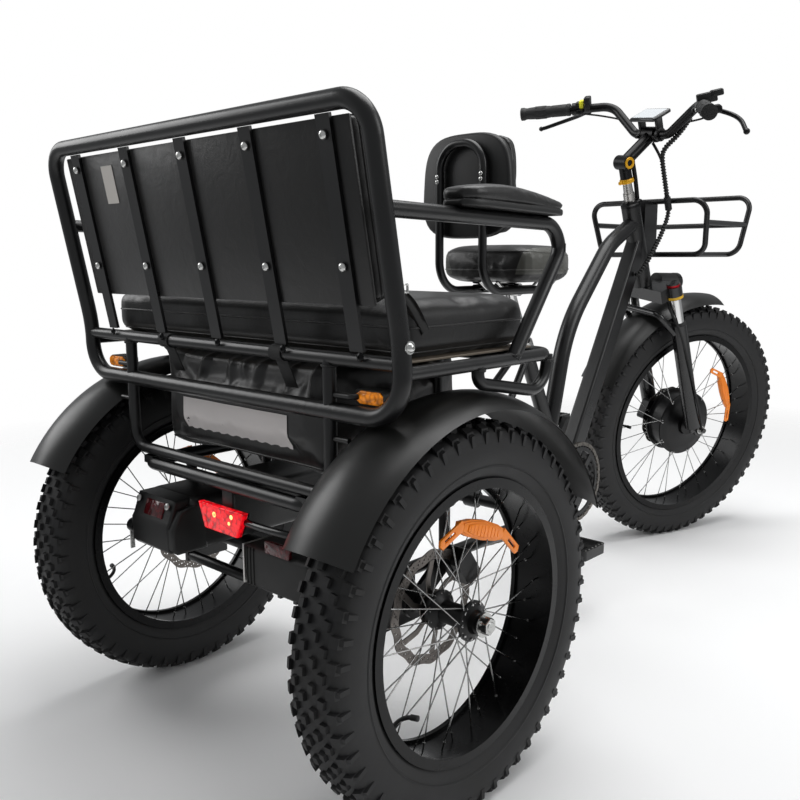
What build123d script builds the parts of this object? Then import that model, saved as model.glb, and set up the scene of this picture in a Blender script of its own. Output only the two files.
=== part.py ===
from build123d import *
import os
from math import asin, atan2, cos, degrees, hypot, pi, radians, sin, sqrt, tan

# Fat-tyre electric tricycle with a two-seat rear bench, in millimetres.
# X is to the rider's right, Y forward, Z up; the floor is z = 0.
# Lengths along Y are measured from the rear axle until the parts are written out.

# Stance
track_width = 703.0
wheelbase = 1428.0
head_rake_deg = 22.0
parked_steer_deg = -20.6

# Rear wheels, 20 inch, and front wheel, 24 inch
rear_tyre_radius = 291.0
front_tyre_radius = 340.0
rear_tyre_height = 82.0
front_tyre_height = 80.5
tyre_half_width = 48.4
tyre_wall = 7.0
tyre_cells = 36
tread_lane_half_width = 26.0
tread_lane_drop = 2.85
tread_shoulder_half_width = 44.0
tread_shoulder_drop = 9.5
lug_height = 4.5
rear_rim_radius = rear_tyre_radius - rear_tyre_height
front_rim_radius = front_tyre_radius - front_tyre_height
rim_half_width = 40.0
rim_wall = 3.0
rim_flange_height = 6.0
rim_depth = 14.5
rim_shoulder = 7.0

fender_gap = 40.0
fender_crown_z = 2 * rear_tyre_radius + fender_gap

# Hubs, axles and rotors
axle_radius = 7.0
hub_barrel_radius = 16.0
hub_nose_radius = 12.8
hub_flange_radius = 30.0
hub_flange_thickness = 4.0
hub_flange_offset = 30.0
hub_stub_length = 18.0
spoke_radius = 1.2
spoke_count = 36
spoke_cross_deg = 38.0
spoke_gap = 0.6
rotor_radius = 90.0
rotor_ring_width = 17.0
rotor_thickness = 2.2
rotor_offset = 46.0
front_rotor_offset = 47.0
motor_radius = 84.0
motor_half_width = 31.0
motor_flange_radius = 92.0
motor_flange_thickness = 4.0

# Fork, measured along and square to the steering axis from the top of the head tube
head_top_z = 934.0
head_tube_radius = 24.0
headset_gap = 1.0
steerer_radius = 14.0
running_clearance = 0.05
fork_offset = 50.0
leg_offset = 30.0
leg_spacing = 82.0
crown_drop = 235.0
crown_thickness = 34.0
stanchion_radius = 15.0
lower_leg_radius = 21.0
stanchion_shown = 76.0
cap_radius = 17.0
cap_height = 9.0
dropout_thickness = 9.0
dropout_radius = 19.0
front_axle_reach = 104.0
brace_radius = 9.0
brace_rise = 30.0
arch_share = 0.8
lamp_drop = 226.0
headlamp_radius = 24.0
headlamp_length = 76.0

# Stem, handlebar and controls, on the steering axis frame
quill_radius = 11.0
collar_height = 70.0
stem_radius = 15.0
stem_pivot_height = 113.0
stem_pivot_radius = 18.0
stem_pivot_half_width = 20.0
bar_forward = 99.5
bar_height = 153.0
bar_radius = 11.1
bar_flat_half = 58.0
bar_rise_out = 150.0
bar_rise_forward = 118.0
bar_rise_height = 220.0
bar_end_out = 333.0
bar_end_forward = -38.0
bar_end_height = 247.0
bar_low_bend = 38.0
bar_high_bend = 55.0
bar_clamp_radius = 19.0
bar_clamp_half_width = 20.0
grip_length = 130.0
grip_radius = 16.5
grip_fit = 0.3
lever_clamp_radius = 16.0
lever_clamp_width = 16.0
lever_thickness = 9.0
display_width = 84.0
display_depth = 60.0
display_thickness = 14.0
display_tilt_deg = 13.0
display_rise = 46.0

# Frame tubes
top_tube_radius = 19.5
down_tube_width = 38.0
down_tube_depth = 48.0
seat_tube_radius = 17.0
bottom_bracket_y = 842.0
bottom_bracket_z = 273.0
bottom_bracket_radius = 21.0
bottom_bracket_half_width = 36.0
seat_clamp_y = 606.0
seat_clamp_z = 738.0
seat_tube_top_share = 0.746
top_tube_foot_share = 0.27
spine_radius = 19.0
top_tube_start_drop = 44.0
top_tube_crest_y = 1030.0
top_tube_crest_z = 835.0
top_tube_knee_y = 842.0
top_tube_knee_z = 640.0
top_tube_crest_bend = 190.0
top_tube_knee_bend = 330.0
down_tube_start_share = 0.47
stay_radius = 8.0
stay_top_x = 14.0
stay_foot_x = 70.0
stay_eye_radius = 17.0

# Rear chassis and axle
axle_tube_radius = 16.0
housing_inset = 70.5
axle_tube_half_length = track_width / 2 - housing_inset
chassis_rail_radius = 11.0
plate_inset = 106.5
chassis_half_width = track_width / 2 - plate_inset
chassis_rail_rise = 39.0
chassis_rail_z = rear_tyre_radius + chassis_rail_rise
chassis_rear_y = -96.0
chassis_front_y = 400.0
chassis_bend = 60.0
rack_inset = 31.0
rack_half_width = chassis_half_width - rack_inset
rack_rear_y = -154.0
rack_front_y = 262.0
rack_drop = 23.0
rack_bend = 30.0
strut_y = 120.0
lower_cross_y = -54.0
lower_cross_drop = 35.0
lower_cross_z = rear_tyre_radius - lower_cross_drop
lower_cross_radius = 9.5
carrier_thickness = 8.0
carrier_flange_radius = 26.0
carrier_flange_thickness = 6.0
saddle_block = 26.0
seat_gap = 0.3

# Bench frame
hoop_radius = 12.7
hoop_outset = 33.5
hoop_half_width = track_width / 2 + hoop_outset
hoop_top_rise = 368.0
hoop_top_z = fender_crown_z + hoop_top_rise
hoop_top_y = -206.0
hoop_knee_rise = 68.0
hoop_knee_z = fender_crown_z + hoop_knee_rise
hoop_y = -150.0
hoop_fender_gap = 3.2
hoop_low_z = (rear_tyre_radius + sqrt((rear_tyre_radius + fender_gap) ** 2 - hoop_y ** 2)
              + hoop_fender_gap + hoop_radius)
hoop_low_corner = 56.0
hoop_top_corner = 46.0
hoop_knee_bend = 320.0
bench_rail_radius = 9.5
bench_rail_rise = 52.0
bench_rail_z = fender_crown_z + bench_rail_rise
side_rail_rise = 40.0
side_rail_z = fender_crown_z + side_rail_rise
bench_front_y = 183.0
bench_corner = 30.0
post_outset = 38.0
post_x = rack_half_width + post_outset
post_loop_drop = 140.0
post_loop_z = fender_crown_z - post_loop_drop
post_radius = 9.5
rack_z = post_loop_z - rack_drop
post_corner = 34.0
loop_tube_radius = 9.0
loop_rear_drop = 27.0
loop_front_drop = 58.0
loop_front_bend = 40.0
loop_rear_bend = 16.0
loop_rear_y = 3.0
loop_front_y = 172.0
arm_rise = 242.0
arm_z = fender_crown_z + arm_rise
arm_fall = 10.0
arm_front_y = 198.0
arm_bend = 42.0
arm_foot_y = 84.0
arm_radius = 10.5
arm_elbow_drop = 52.0
arm_elbow_z = arm_z - arm_elbow_drop

# Slats, panel, cushion and pads
slat_spacing = 153.0
slat_width = 25.0
slat_thickness = 5.0
panel_inset = 35.0
panel_half_width = hoop_half_width - panel_inset
panel_low_rise = 120.0
panel_low_z = fender_crown_z + panel_low_rise
panel_high_rise = 353.5
panel_high_z = fender_crown_z + panel_high_rise
panel_thickness = 44.0
panel_gap = 0.4
cushion_inset = 15.0
cushion_half_width = hoop_half_width - cushion_inset
cushion_rear_y = -118.0
cushion_front_y = 155.0
cushion_thickness = 78.0
pad_length = 262.0
pad_width = 62.0
pad_thickness = 26.0
pad_base_thickness = 12.0
pad_rear_y = -84.0
pad_corner = 28.0

# Bag, lamps and boxes
bag_inset = 9.3
bag_half_width = rack_half_width - bag_inset
bag_rear_y = -116.0
bag_front_y = 190.0
bag_low_drop = 122.0
bag_low_z = fender_crown_z - bag_low_drop
lamp_width = 117.0
lamp_height = 46.0
lamp_depth = 26.0
lamp_x = 18.0
lamp_y = -170.0
tail_lamp_drop = 61.0
signal_length = 52.0
signal_height = 20.0
signal_depth = 24.0
signal_inset = 69.0
signal_x = hoop_half_width - signal_inset
signal_y = -128.0
signal_rise = 3.0
signal_z = fender_crown_z + signal_rise
signal_stem_radius = 4.0
battery_width = 132.0
battery_height = 92.0
battery_length = 372.0
battery_rear_y = -190.0
battery_low_rise = 31.0
battery_low_z = rear_tyre_radius + battery_low_rise
controller_width = 160.0
controller_height = 112.0
controller_x = 122.0
controller_rear_y = -150.0
controller_low_drop = 33.0
controller_low_z = rear_tyre_radius - controller_low_drop

# Fenders
fender_half_width = 64.0
fender_wall = 3.0
fender_drop = 22.0
fender_stay_y = 214.0
fender_front_deg = 21.0
fender_rear_deg = 150.0
front_fender_gap = 32.0
front_fender_start_deg = 84.0
front_fender_end_deg = 158.0

# Saddle and its backrest
saddle_width = 250.0
saddle_length = 268.0
saddle_thickness = 72.0
saddle_corner = 34.0
saddle_plan_shares = ((-0.36, 0), (-0.5, 0.3), (-0.4, 0.6), (-0.2, 1))
saddle_rear_y = 512.0
saddle_low_z = 757.0
rest_width = 222.0
rest_height = 205.0
rest_thickness = 44.0
rest_low_z = 843.0
rest_tube_radius = 8.5
rest_stub_radius = 6.5
rest_tube_half_gap = 55.0
rest_tube_y = 442.0
saddle_rail_radius = 3.5
saddle_rail_x = 22.0
saddle_rail_z = 741.0
saddle_rail_inset = 24.0
rest_tube_bend = 60.0
rest_hoop_share = 0.9

# Basket
basket_half_width = 165.0
basket_rear_y = 1222.0
basket_front_y = 1508.0
basket_low_z = 812.0
basket_rear_top_z = 948.0
basket_front_top_z = 966.0
basket_tube_radius = 7.0
basket_corner = 34.0
basket_taper = 36.0
basket_rail_z = 892.0
basket_bar_radius = 5.6
basket_bar_shares = (-0.8, -0.27, 0.27, 0.8)

# Crank, pedals and chain
crank_length = 165.0
crank_angle_deg = -43.3
chainring_radius = 88.0
chainring_x = 45.0
chainring_thickness = 4.0
spider_count = 5
crank_arm_x = 62.0
crank_arm_width = 24.0
crank_arm_thickness = 13.0
pedal_length = 92.0
pedal_width = 88.0
pedal_thickness = 22.0
pedal_axle_radius = 6.0
pedal_gap = 6.0
pedal_window_shares = (0.7, 0.3)
cog_radius = 40.0
cog_teeth = 20
cog_thickness = 3.0
chainring_teeth = 44
tooth_depth = 4.0
tooth_shares = ((-0.3, 1), (-0.12, 0), (0.12, 0), (0.3, 1))
chain_pitch = 25.4
chain_waist_share = 0.55
spider_share = 0.6
crank_end_share = 0.45
chain_height = 8.0
chain_width = 8.0
chain_clearance = 0.6

spindle_radius = 10.0
seat_post_radius = 13.6
seat_insert = 120.0
saddle_rail_gap = 44.0
axle_shaft_radius = 8.5
inner_shaft_x = 32.0
left_shaft_x = 120.0
cog_gap_half = 16.0
rotor_gap = 0.8
caliper_reach = 82.0
caliper_width = 36.0
front_caliper_width = 26.0
caliper_length = 58.0
caliper_height = 34.0
caliper_deg = 55.0
front_caliper_deg = 50.0
loom_radius = 5.5
loom_bend = 30.0
loom_x = 40.0
loom_forward = 86.0
loom_break = 2.0
loom_foot_x = 40.0
loom_foot_y = 1128.0
loom_foot_z = 762.0
loom_foot_bend = 14.0

overrun = 5.0


def bent_tube(points, radius, bends, closed=False):
    """One round tube along straight runs joined by tangent arcs."""
    if closed:
        path = FilletPolyline(*points, radius=bends, close=True)
    elif len(points) == 2:
        path = Line(*points)
    else:
        path = FilletPolyline(*points, radius=bends)
    section = Plane(origin=path @ 0, z_dir=path % 0) * Circle(radius)
    return sweep(section, path=path)


def rod(start, end, radius):
    """One straight round bar between two points."""
    start = Vector(*start)
    end = Vector(*end)
    bar = Cylinder(radius, (end - start).length, align=(Align.CENTER, Align.CENTER, Align.MIN))
    return Plane(origin=start, z_dir=end - start) * bar


def disc(radius, thickness, x):
    """A round plate square to X, centred on x."""
    return Pos(x, 0, 0) * Rot(0, 90, 0) * Cylinder(radius, thickness)


def ring(outer, inner, thickness, x):
    """A flat ring square to X, centred on x."""
    return disc(outer, thickness, x) - disc(inner, thickness + overrun, x)


def toothed(radius, teeth, thickness, x):
    """A sprocket plate square to X; each row of the table is a share of the tooth's pitch and its depth."""
    points = []
    for index in range(teeth):
        for share, depth in tooth_shares:
            angle = 2 * pi * (index + share) / teeth
            reach = radius - depth * tooth_depth
            points.append((reach * sin(angle), reach * cos(angle)))
    plate = extrude(make_face(Polyline(*points, close=True)), thickness / 2, both=True)
    return Pos(x, 0, 0) * (Plane.YZ * plate)


def mirrored(shape):
    return mirror(shape, about=Plane.YZ)


def turned(outline):
    """A body turned about the X axis from an outline of (x, radius)."""
    return revolve(make_face(outline), axis=Axis.X)


# Wheels, about the X axis at the origin

def make_tyre(radius, rim_radius):
    """A hollow tyre in flat cells, with a shoulder lug on every second cell of each side."""
    bead = (rim_radius - rim_flange_height) / cos(pi / tyre_cells)
    bulge = (rim_radius + radius) / 2
    foot = rim_half_width - rim_wall - spoke_gap
    lane = (tread_lane_half_width, radius - tread_lane_drop)
    shoulder = (tread_shoulder_half_width, radius - tread_shoulder_drop)
    lane_floor = (lane[0], lane[1] - lug_height)
    shoulder_floor = (shoulder[0], shoulder[1] - lug_height)
    outside = [(foot, bead), (foot, rim_radius), (tyre_half_width, bulge), shoulder_floor, lane_floor, (0, radius)]
    inside = [(foot - tyre_wall, bead), (tyre_half_width - tyre_wall, bulge),
              (tread_lane_half_width, radius - tread_shoulder_drop - tyre_wall)]

    def corner(x, r, cell):
        angle = 2 * pi * cell / tyre_cells
        return (x, r * sin(angle), r * cos(angle))

    def strip(first, second, cell):
        loop = [corner(*first, cell), corner(*second, cell), corner(*second, cell + 1), corner(*first, cell + 1)]
        return Face(Wire.make_polygon(loop, close=True))

    faces = []
    for cell in range(tyre_cells):
        for side in (-1, 1):
            around = [(side * x, r) for x, r in outside]
            under = [(side * x, r) for x, r in inside]
            floor_strip = around.index((side * shoulder_floor[0], shoulder_floor[1]))
            raised = (cell + (side > 0)) % 2 == 0
            for index in range(len(around) - 1):
                if index != floor_strip or not raised:
                    faces.append(strip(around[index], around[index + 1], cell))
            for low, high in zip(under, under[1:]):
                faces.append(strip(low, high, cell))
            faces.append(strip(around[0], under[0], cell))
            low_in, low_out = (around[floor_strip + 1], around[floor_strip])
            high_in, high_out = (side * lane[0], lane[1]), (side * shoulder[0], shoulder[1])
            if raised:
                faces.append(strip(low_out, high_out, cell))
                faces.append(strip(high_out, high_in, cell))
                faces.append(strip(high_in, low_in, cell))
            end = [corner(*point, cell) for point in (low_in, low_out, high_out, high_in)]
            faces.append(Face(Wire.make_polygon(end, close=True)))
        top = inside[-1]
        faces.append(strip((-top[0], top[1]), top, cell))
    return Solid(Shell(faces))


def make_rim(radius):
    lip = rim_half_width
    seat = radius - rim_flange_height - spoke_gap
    low = radius - rim_depth
    well = seat - rim_wall
    points = [(-lip, radius), (-lip, low), (lip, low), (lip, radius), (lip - rim_wall, radius),
              (lip - rim_wall, seat), (rim_shoulder - lip + rim_wall, seat)]
    points = points[:-1] + [(-lip + rim_wall, seat), (-lip + rim_wall, radius)]
    shell = turned(Polyline(*points, close=True))
    hollow = turned(Polyline((-lip + rim_shoulder, well), (-lip + rim_shoulder, low - overrun),
                             (lip - rim_shoulder, low - overrun), (lip - rim_shoulder, well), close=True))
    return shell - hollow


def make_spokes(flange_radius, flange_x, rim_radius):
    inner = rim_radius - rim_flange_height - rim_wall - spoke_gap * 3
    spokes = []
    for index in range(spoke_count):
        side = 1 if index % 2 else -1
        lean = 1 if index % 4 < 2 else -1
        angle = index * 360 / spoke_count
        root = radians(angle + lean * spoke_cross_deg)
        tip = radians(angle)
        start = (side * flange_x, flange_radius * cos(root), flange_radius * sin(root))
        end = (side * spoke_radius * 2, inner * cos(tip), inner * sin(tip))
        spokes.append(rod(start, end, spoke_radius))
    return spokes


def make_rotor(x):
    rim = ring(rotor_radius, rotor_radius - rotor_ring_width, rotor_thickness, x)
    carrier = ring(hub_flange_radius, hub_barrel_radius + spoke_gap, rotor_thickness, x)
    arms = []
    reach = rotor_radius - rotor_ring_width
    for index in range(spider_count + 1):
        turn = Rot(index * 360 / (spider_count + 1), 0, 0)
        arm = Box(rotor_thickness, rotor_ring_width / 2, reach - hub_barrel_radius - rotor_ring_width / 2)
        arms.append(turn * Pos(x, 0, (reach + hub_barrel_radius + rotor_ring_width / 2) / 2 + spoke_gap) * arm)
    return rim + carrier + arms


def make_rear_hub(outboard):
    """Rear hub with spokes; outboard is 1 on the right wheel and -1 on the left."""
    barrel_end = rotor_offset - rotor_thickness / 2
    barrel = disc(hub_barrel_radius, 2 * barrel_end, 0)
    flanges = [disc(hub_flange_radius, hub_flange_thickness, side * hub_flange_offset) for side in (-1, 1)]
    nose = disc(hub_nose_radius, hub_stub_length, outboard * (barrel_end + hub_stub_length / 2))
    boss = disc(hub_barrel_radius - spoke_gap, hub_stub_length, -outboard * (barrel_end + hub_stub_length / 2))
    inner_x = inner_shaft_x if outboard > 0 else left_shaft_x
    reach = track_width / 2 - barrel_end - inner_x
    shaft = disc(axle_shaft_radius, reach, -outboard * (barrel_end + reach / 2))
    spokes = make_spokes(hub_flange_radius - hub_flange_thickness, hub_flange_offset, rear_rim_radius)
    hub = barrel + flanges + nose + boss + shaft + spokes
    if outboard > 0:
        hub += toothed(cog_radius, cog_teeth, cog_thickness, chainring_x - track_width / 2)
    return hub


def make_front_hub():
    drum = disc(motor_radius, 2 * motor_half_width, 0)
    offset = motor_half_width - motor_flange_thickness
    flanges = [disc(motor_flange_radius, motor_flange_thickness, side * offset) for side in (-1, 1)]
    boss_length = front_rotor_offset - rotor_thickness / 2 - motor_half_width
    bosses = [disc(hub_flange_radius, boss_length, side * (motor_half_width + boss_length / 2))
              for side in (-1, 1)]
    axle = disc(axle_radius, 2 * front_axle_reach, 0)
    spokes = make_spokes(motor_flange_radius - motor_flange_thickness, offset, front_rim_radius)
    bore = disc(axle_radius + running_clearance, 2 * motor_half_width + 2 * boss_length, 0)
    return (drum + flanges + bosses + spokes) - bore, axle


def make_wheel_set():
    parts = {}
    for name, side in (("left", -1), ("right", 1)):
        place = Pos(side * track_width / 2, 0, rear_tyre_radius)
        parts[f"{name}_tyre"] = place * make_tyre(rear_tyre_radius, rear_rim_radius)
        parts[f"{name}_rim"] = place * make_rim(rear_rim_radius)
        parts[f"{name}_hub"] = place * make_rear_hub(side)
        parts[f"{name}_rotor"] = place * make_rotor(-side * rotor_offset)
    return parts


# Steering axis frame: local Z runs up the axis, local Y is square to it and forward

head_tube_length = crown_drop - crown_thickness / 2 - headset_gap
rake = radians(head_rake_deg)
steer = radians(parked_steer_deg)
lean_sine = sin(steer) * sin(rake)
front_tyre = make_tyre(front_tyre_radius, front_rim_radius)
leaned_tyre = Rot(0, degrees(asin(-lean_sine)), 0) * front_tyre
front_wheel_z = -leaned_tyre.bounding_box().min.Z
axle_drop = (head_top_z + fork_offset * cos(steer) * sin(rake) - front_wheel_z) / cos(rake)
head_top_y = wheelbase - fork_offset * cos(rake) - axle_drop * sin(rake)
head_top = Plane(origin=(0, head_top_y, head_top_z), x_dir=(1, 0, 0), z_dir=(0, -sin(rake), cos(rake)))
steering = head_top * Rot(0, 0, parked_steer_deg)


def make_front_wheel():
    place = steering * Pos(0, fork_offset, -axle_drop)
    hub, axle = make_front_hub()
    level = Rot(-degrees(atan2(sin(rake) * cos(steer), cos(rake))), 0, 0)
    return {"front_tyre": place * level * front_tyre,
            "front_rim": place * make_rim(front_rim_radius),
            "front_hub": place * hub,
            "front_rotor": place * make_rotor(-front_rotor_offset)}, place * axle


def make_fork():
    crown_z = -crown_drop
    leg_top = crown_z + crown_thickness / 2
    steerer = Pos(0, 0, (crown_z + collar_height / 2) / 2) * Cylinder(
        steerer_radius, collar_height / 2 - crown_z)
    bridge = Pos(0, leg_offset / 2, crown_z) * Box(
        2 * leg_spacing, 2 * stanchion_radius + leg_offset, crown_thickness)
    crown = steerer + bridge
    for side in (-1, 1):
        x = side * leg_spacing
        crown += Pos(x, leg_offset, crown_z) * Cylinder(lower_leg_radius, crown_thickness)
        crown += Pos(x, leg_offset, leg_top + cap_height / 2) * Cylinder(cap_radius, cap_height)
        crown += rod((x, leg_offset, crown_z), (x, leg_offset, crown_z - crown_thickness / 2 - stanchion_shown - overrun),
                     stanchion_radius)
    lower_top = crown_z - crown_thickness / 2 - stanchion_shown
    lowers = None
    for side in (-1, 1):
        x = side * leg_spacing
        leg = rod((x, leg_offset, lower_top), (x, leg_offset, -axle_drop + dropout_radius), lower_leg_radius)
        bore = rod((x, leg_offset, lower_top + overrun), (x, leg_offset, lower_top - 2 * overrun),
                   stanchion_radius + running_clearance)
        ear = Pos(x, 0, 0) * Rot(0, 90, 0) * Cylinder(dropout_radius, dropout_thickness)
        ear = Pos(0, fork_offset, -axle_drop) * ear
        web_depth = fork_offset - leg_offset + lower_leg_radius
        web = Pos(x, leg_offset + (fork_offset - leg_offset) / 2, -axle_drop + dropout_radius) * Box(
            dropout_thickness, web_depth, 2 * dropout_radius)
        side_piece = (leg - bore) + ear + web
        lowers = side_piece if lowers is None else lowers + side_piece
    arch_z = lower_top - lower_leg_radius
    over = front_tyre_radius + brace_rise - axle_drop + brace_radius
    arch_y = leg_offset - arch_share * lower_leg_radius
    arch = bent_tube([(-leg_spacing, arch_y, arch_z), (-leg_spacing * arch_share, leg_offset - fork_offset, over),
                      (leg_spacing * arch_share, leg_offset - fork_offset, over), (leg_spacing, arch_y, arch_z)],
                     brace_radius, lower_leg_radius)
    lowers = lowers + arch
    axle_bore = Pos(0, fork_offset, -axle_drop) * disc(axle_radius - spoke_gap / 4, 3 * leg_spacing, 0)
    return crown, lowers, axle_bore


def make_bar_parts():
    quill = Cylinder(quill_radius, collar_height / 2, align=(Align.CENTER, Align.CENTER, Align.MIN))
    quill = Pos(0, 0, collar_height / 2 + spoke_gap / 2) * quill
    neck = rod((0, 0, collar_height), (0, 0, stem_pivot_height), stem_radius)
    knuckle = Pos(0, 0, stem_pivot_height) * disc(stem_pivot_radius, 2 * stem_pivot_half_width, 0)
    arm = rod((0, 0, stem_pivot_height), (0, bar_forward, bar_height), stem_radius)
    clamp = Pos(0, bar_forward, bar_height) * disc(bar_clamp_radius, 2 * bar_clamp_half_width, 0)
    hole = Pos(0, bar_forward, bar_height) * disc(bar_radius + grip_fit / 2, 4 * bar_clamp_half_width, 0)
    stem = (quill + neck + knuckle + arm + clamp) - hole

    half = [(bar_flat_half, bar_forward, bar_height),
            (bar_rise_out, bar_rise_forward, bar_rise_height),
            (bar_end_out, bar_end_forward, bar_end_height)]
    points = [(-x, y, z) for x, y, z in reversed(half)] + half
    handlebar = bent_tube(points, bar_radius, [bar_high_bend, bar_low_bend, bar_low_bend, bar_high_bend])

    out = Vector(bar_end_out - bar_rise_out, bar_end_forward - bar_rise_forward, bar_end_height - bar_rise_height)
    out = out.normalized()
    tip = Vector(*half[-1])
    grips = None
    controls = None
    for side in (-1, 1):
        def flip(point):
            return (side * point.X, point.Y, point.Z)
        near = tip - out * grip_length
        bar_core = rod(flip(tip - out * (grip_length + 8 * overrun)), flip(tip), bar_radius + grip_fit)
        sleeve = rod(flip(near), flip(tip + out * overrun), grip_radius) - bar_core
        grips = sleeve if grips is None else grips + sleeve
        clamp_start = near - out * (overrun + lever_clamp_width)
        clamp_end = near - out * overrun
        band = rod(flip(clamp_start), flip(clamp_end), lever_clamp_radius) - bar_core
        base = clamp_start + out * (lever_clamp_width / 2)
        perch = base + Vector(0, 2 * lever_clamp_radius, -lever_clamp_radius)
        lever_end = tip + Vector(lever_clamp_width, 3 * lever_clamp_radius, -4 * lever_clamp_radius)
        bracket = rod(flip(base + Vector(0, bar_radius, -bar_radius)), flip(perch), lever_thickness)
        bracket = bracket - bar_core
        lever = rod(flip(perch), flip(lever_end), lever_thickness / 2)
        piece = band + bracket + lever
        controls = piece if controls is None else controls + piece
    display = Pos(0, bar_forward + stem_radius / 4, bar_height + display_rise) * Rot(-display_tilt_deg, 0, 0) * Box(
        display_width, display_depth, display_thickness)
    for side in (-1, 1):
        x = side * (bar_clamp_half_width + lever_thickness + overrun)
        band = Pos(x, bar_forward, bar_height) * disc(lever_clamp_radius, lever_thickness, 0)
        band = band - Pos(x, bar_forward, bar_height) * disc(bar_radius + grip_fit, 2 * lever_thickness, 0)
        arm = Pos(x, bar_forward, bar_height + display_rise / 2 + bar_radius / 2) * Box(
            lever_thickness, lever_thickness, display_rise - bar_radius)
        display = display + band + arm
    return stem, handlebar, grips, controls, display


def make_head_parts():
    start_y = leg_offset / 2 + stanchion_radius + leg_offset / 2 + seat_gap
    lamp = rod((0, start_y, -lamp_drop), (0, start_y + headlamp_length * cos(rake), -lamp_drop - headlamp_length * sin(rake)),
               headlamp_radius)
    face = Pos(0, start_y - headlamp_length / 2, -lamp_drop) * Box(4 * headlamp_radius, headlamp_length, 4 * headlamp_radius)
    lamp = lamp - face
    return lamp


def make_fender(radius, start_deg, end_deg, half_width):
    """A curved fender about the X axis at the origin."""
    edge = radius - fender_drop
    outer = ThreePointArc((-half_width, edge), (0, radius), (half_width, edge))
    inner = ThreePointArc((half_width - fender_wall, edge), (0, radius - fender_wall),
                          (-half_width + fender_wall, edge))
    profile = make_face(outer + Line((half_width, edge), (half_width - fender_wall, edge)) + inner
                        + Line((-half_width + fender_wall, edge), (-half_width, edge)))
    arc = revolve(profile, axis=Axis.X, revolution_arc=end_deg - start_deg)
    return Rot(start_deg, 0, 0) * arc


def make_steering():
    crown, lowers, axle_bore = make_fork()
    stem, handlebar, grips, controls, display = make_bar_parts()
    radius = front_tyre_radius + front_fender_gap
    fender = Pos(0, fork_offset, -axle_drop) * Rot(head_rake_deg * -1, 0, 0) * make_fender(
        radius, front_fender_start_deg, front_fender_end_deg, fender_half_width)
    return {"fork_crown": steering * crown, "fork_lowers": steering * (lowers - axle_bore),
            "stem": steering * stem, "handlebar": steering * handlebar, "grips": steering * grips,
            "bar_controls": steering * controls, "display": steering * display,
            "headlamp": steering * make_head_parts(), "front_fender": steering * fender}


# Frame

def axis_point(down):
    """A point on the steering axis, a distance below the top of the head tube."""
    return (0, head_top_y + down * sin(rake), head_top_z - down * cos(rake))


bracket = Vector(0, bottom_bracket_y, bottom_bracket_z)
seat_run = Vector(0, seat_clamp_y - bottom_bracket_y, seat_clamp_z - bottom_bracket_z)
seat_way = seat_run.normalized()
seat_tube_top = bracket + seat_run * seat_tube_top_share


def make_main_frame():
    seat_foot = bracket + seat_run * top_tube_foot_share
    head = rod(axis_point(0), axis_point(head_tube_length), head_tube_radius)
    top_tube = bent_tube([axis_point(top_tube_start_drop),
                          (0, top_tube_crest_y, top_tube_crest_z),
                          (0, top_tube_knee_y, top_tube_knee_z),
                          (0, seat_foot.Y, seat_foot.Z)],
                         top_tube_radius, [top_tube_crest_bend, top_tube_knee_bend])
    down_start = Vector(*axis_point(head_tube_length * down_tube_start_share))
    down_run = bracket - down_start
    down_box = Box(down_tube_width, down_tube_depth, down_run.length)
    down_plane = Plane(origin=(down_start + bracket) / 2, x_dir=(1, 0, 0), z_dir=down_run)
    down_tube = down_plane * fillet(down_box.edges().filter_by(Axis.Z), down_tube_width / 6)
    seat_tube = rod(bracket, seat_tube_top, seat_tube_radius)
    shell = Pos(*bracket) * disc(bottom_bracket_radius, 2 * bottom_bracket_half_width, 0)
    spine = rod(seat_foot, (0, chassis_front_y, chassis_rail_z), spine_radius)
    block = Pos(0, chassis_front_y, chassis_rail_z) * disc(spine_radius + chassis_rail_radius, saddle_block, 0)
    frame = head + top_tube + down_tube + seat_tube + shell + spine + block
    top = seat_tube_top - seat_way * seat_tube_radius
    for side in (-1, 1):
        foot = (side * stay_foot_x, chassis_front_y, chassis_rail_z)
        frame += rod((side * stay_top_x, top.Y, top.Z), foot, stay_radius)
        frame += Pos(*foot) * disc(stay_eye_radius, saddle_block, 0)
    head_bore = rod(axis_point(-overrun), axis_point(head_tube_length + overrun), steerer_radius + running_clearance)
    shell_bore = Pos(*bracket) * disc(spindle_radius + running_clearance, 3 * bottom_bracket_half_width, 0)
    seat_bore = rod(seat_tube_top - seat_way * seat_insert, seat_tube_top + seat_way * overrun,
                    seat_post_radius + seat_gap)
    chassis_bore = Pos(0, chassis_front_y, chassis_rail_z) * disc(chassis_rail_radius + seat_gap, 4 * stay_foot_x, 0)
    return frame - head_bore - shell_bore - seat_bore - chassis_bore


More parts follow.
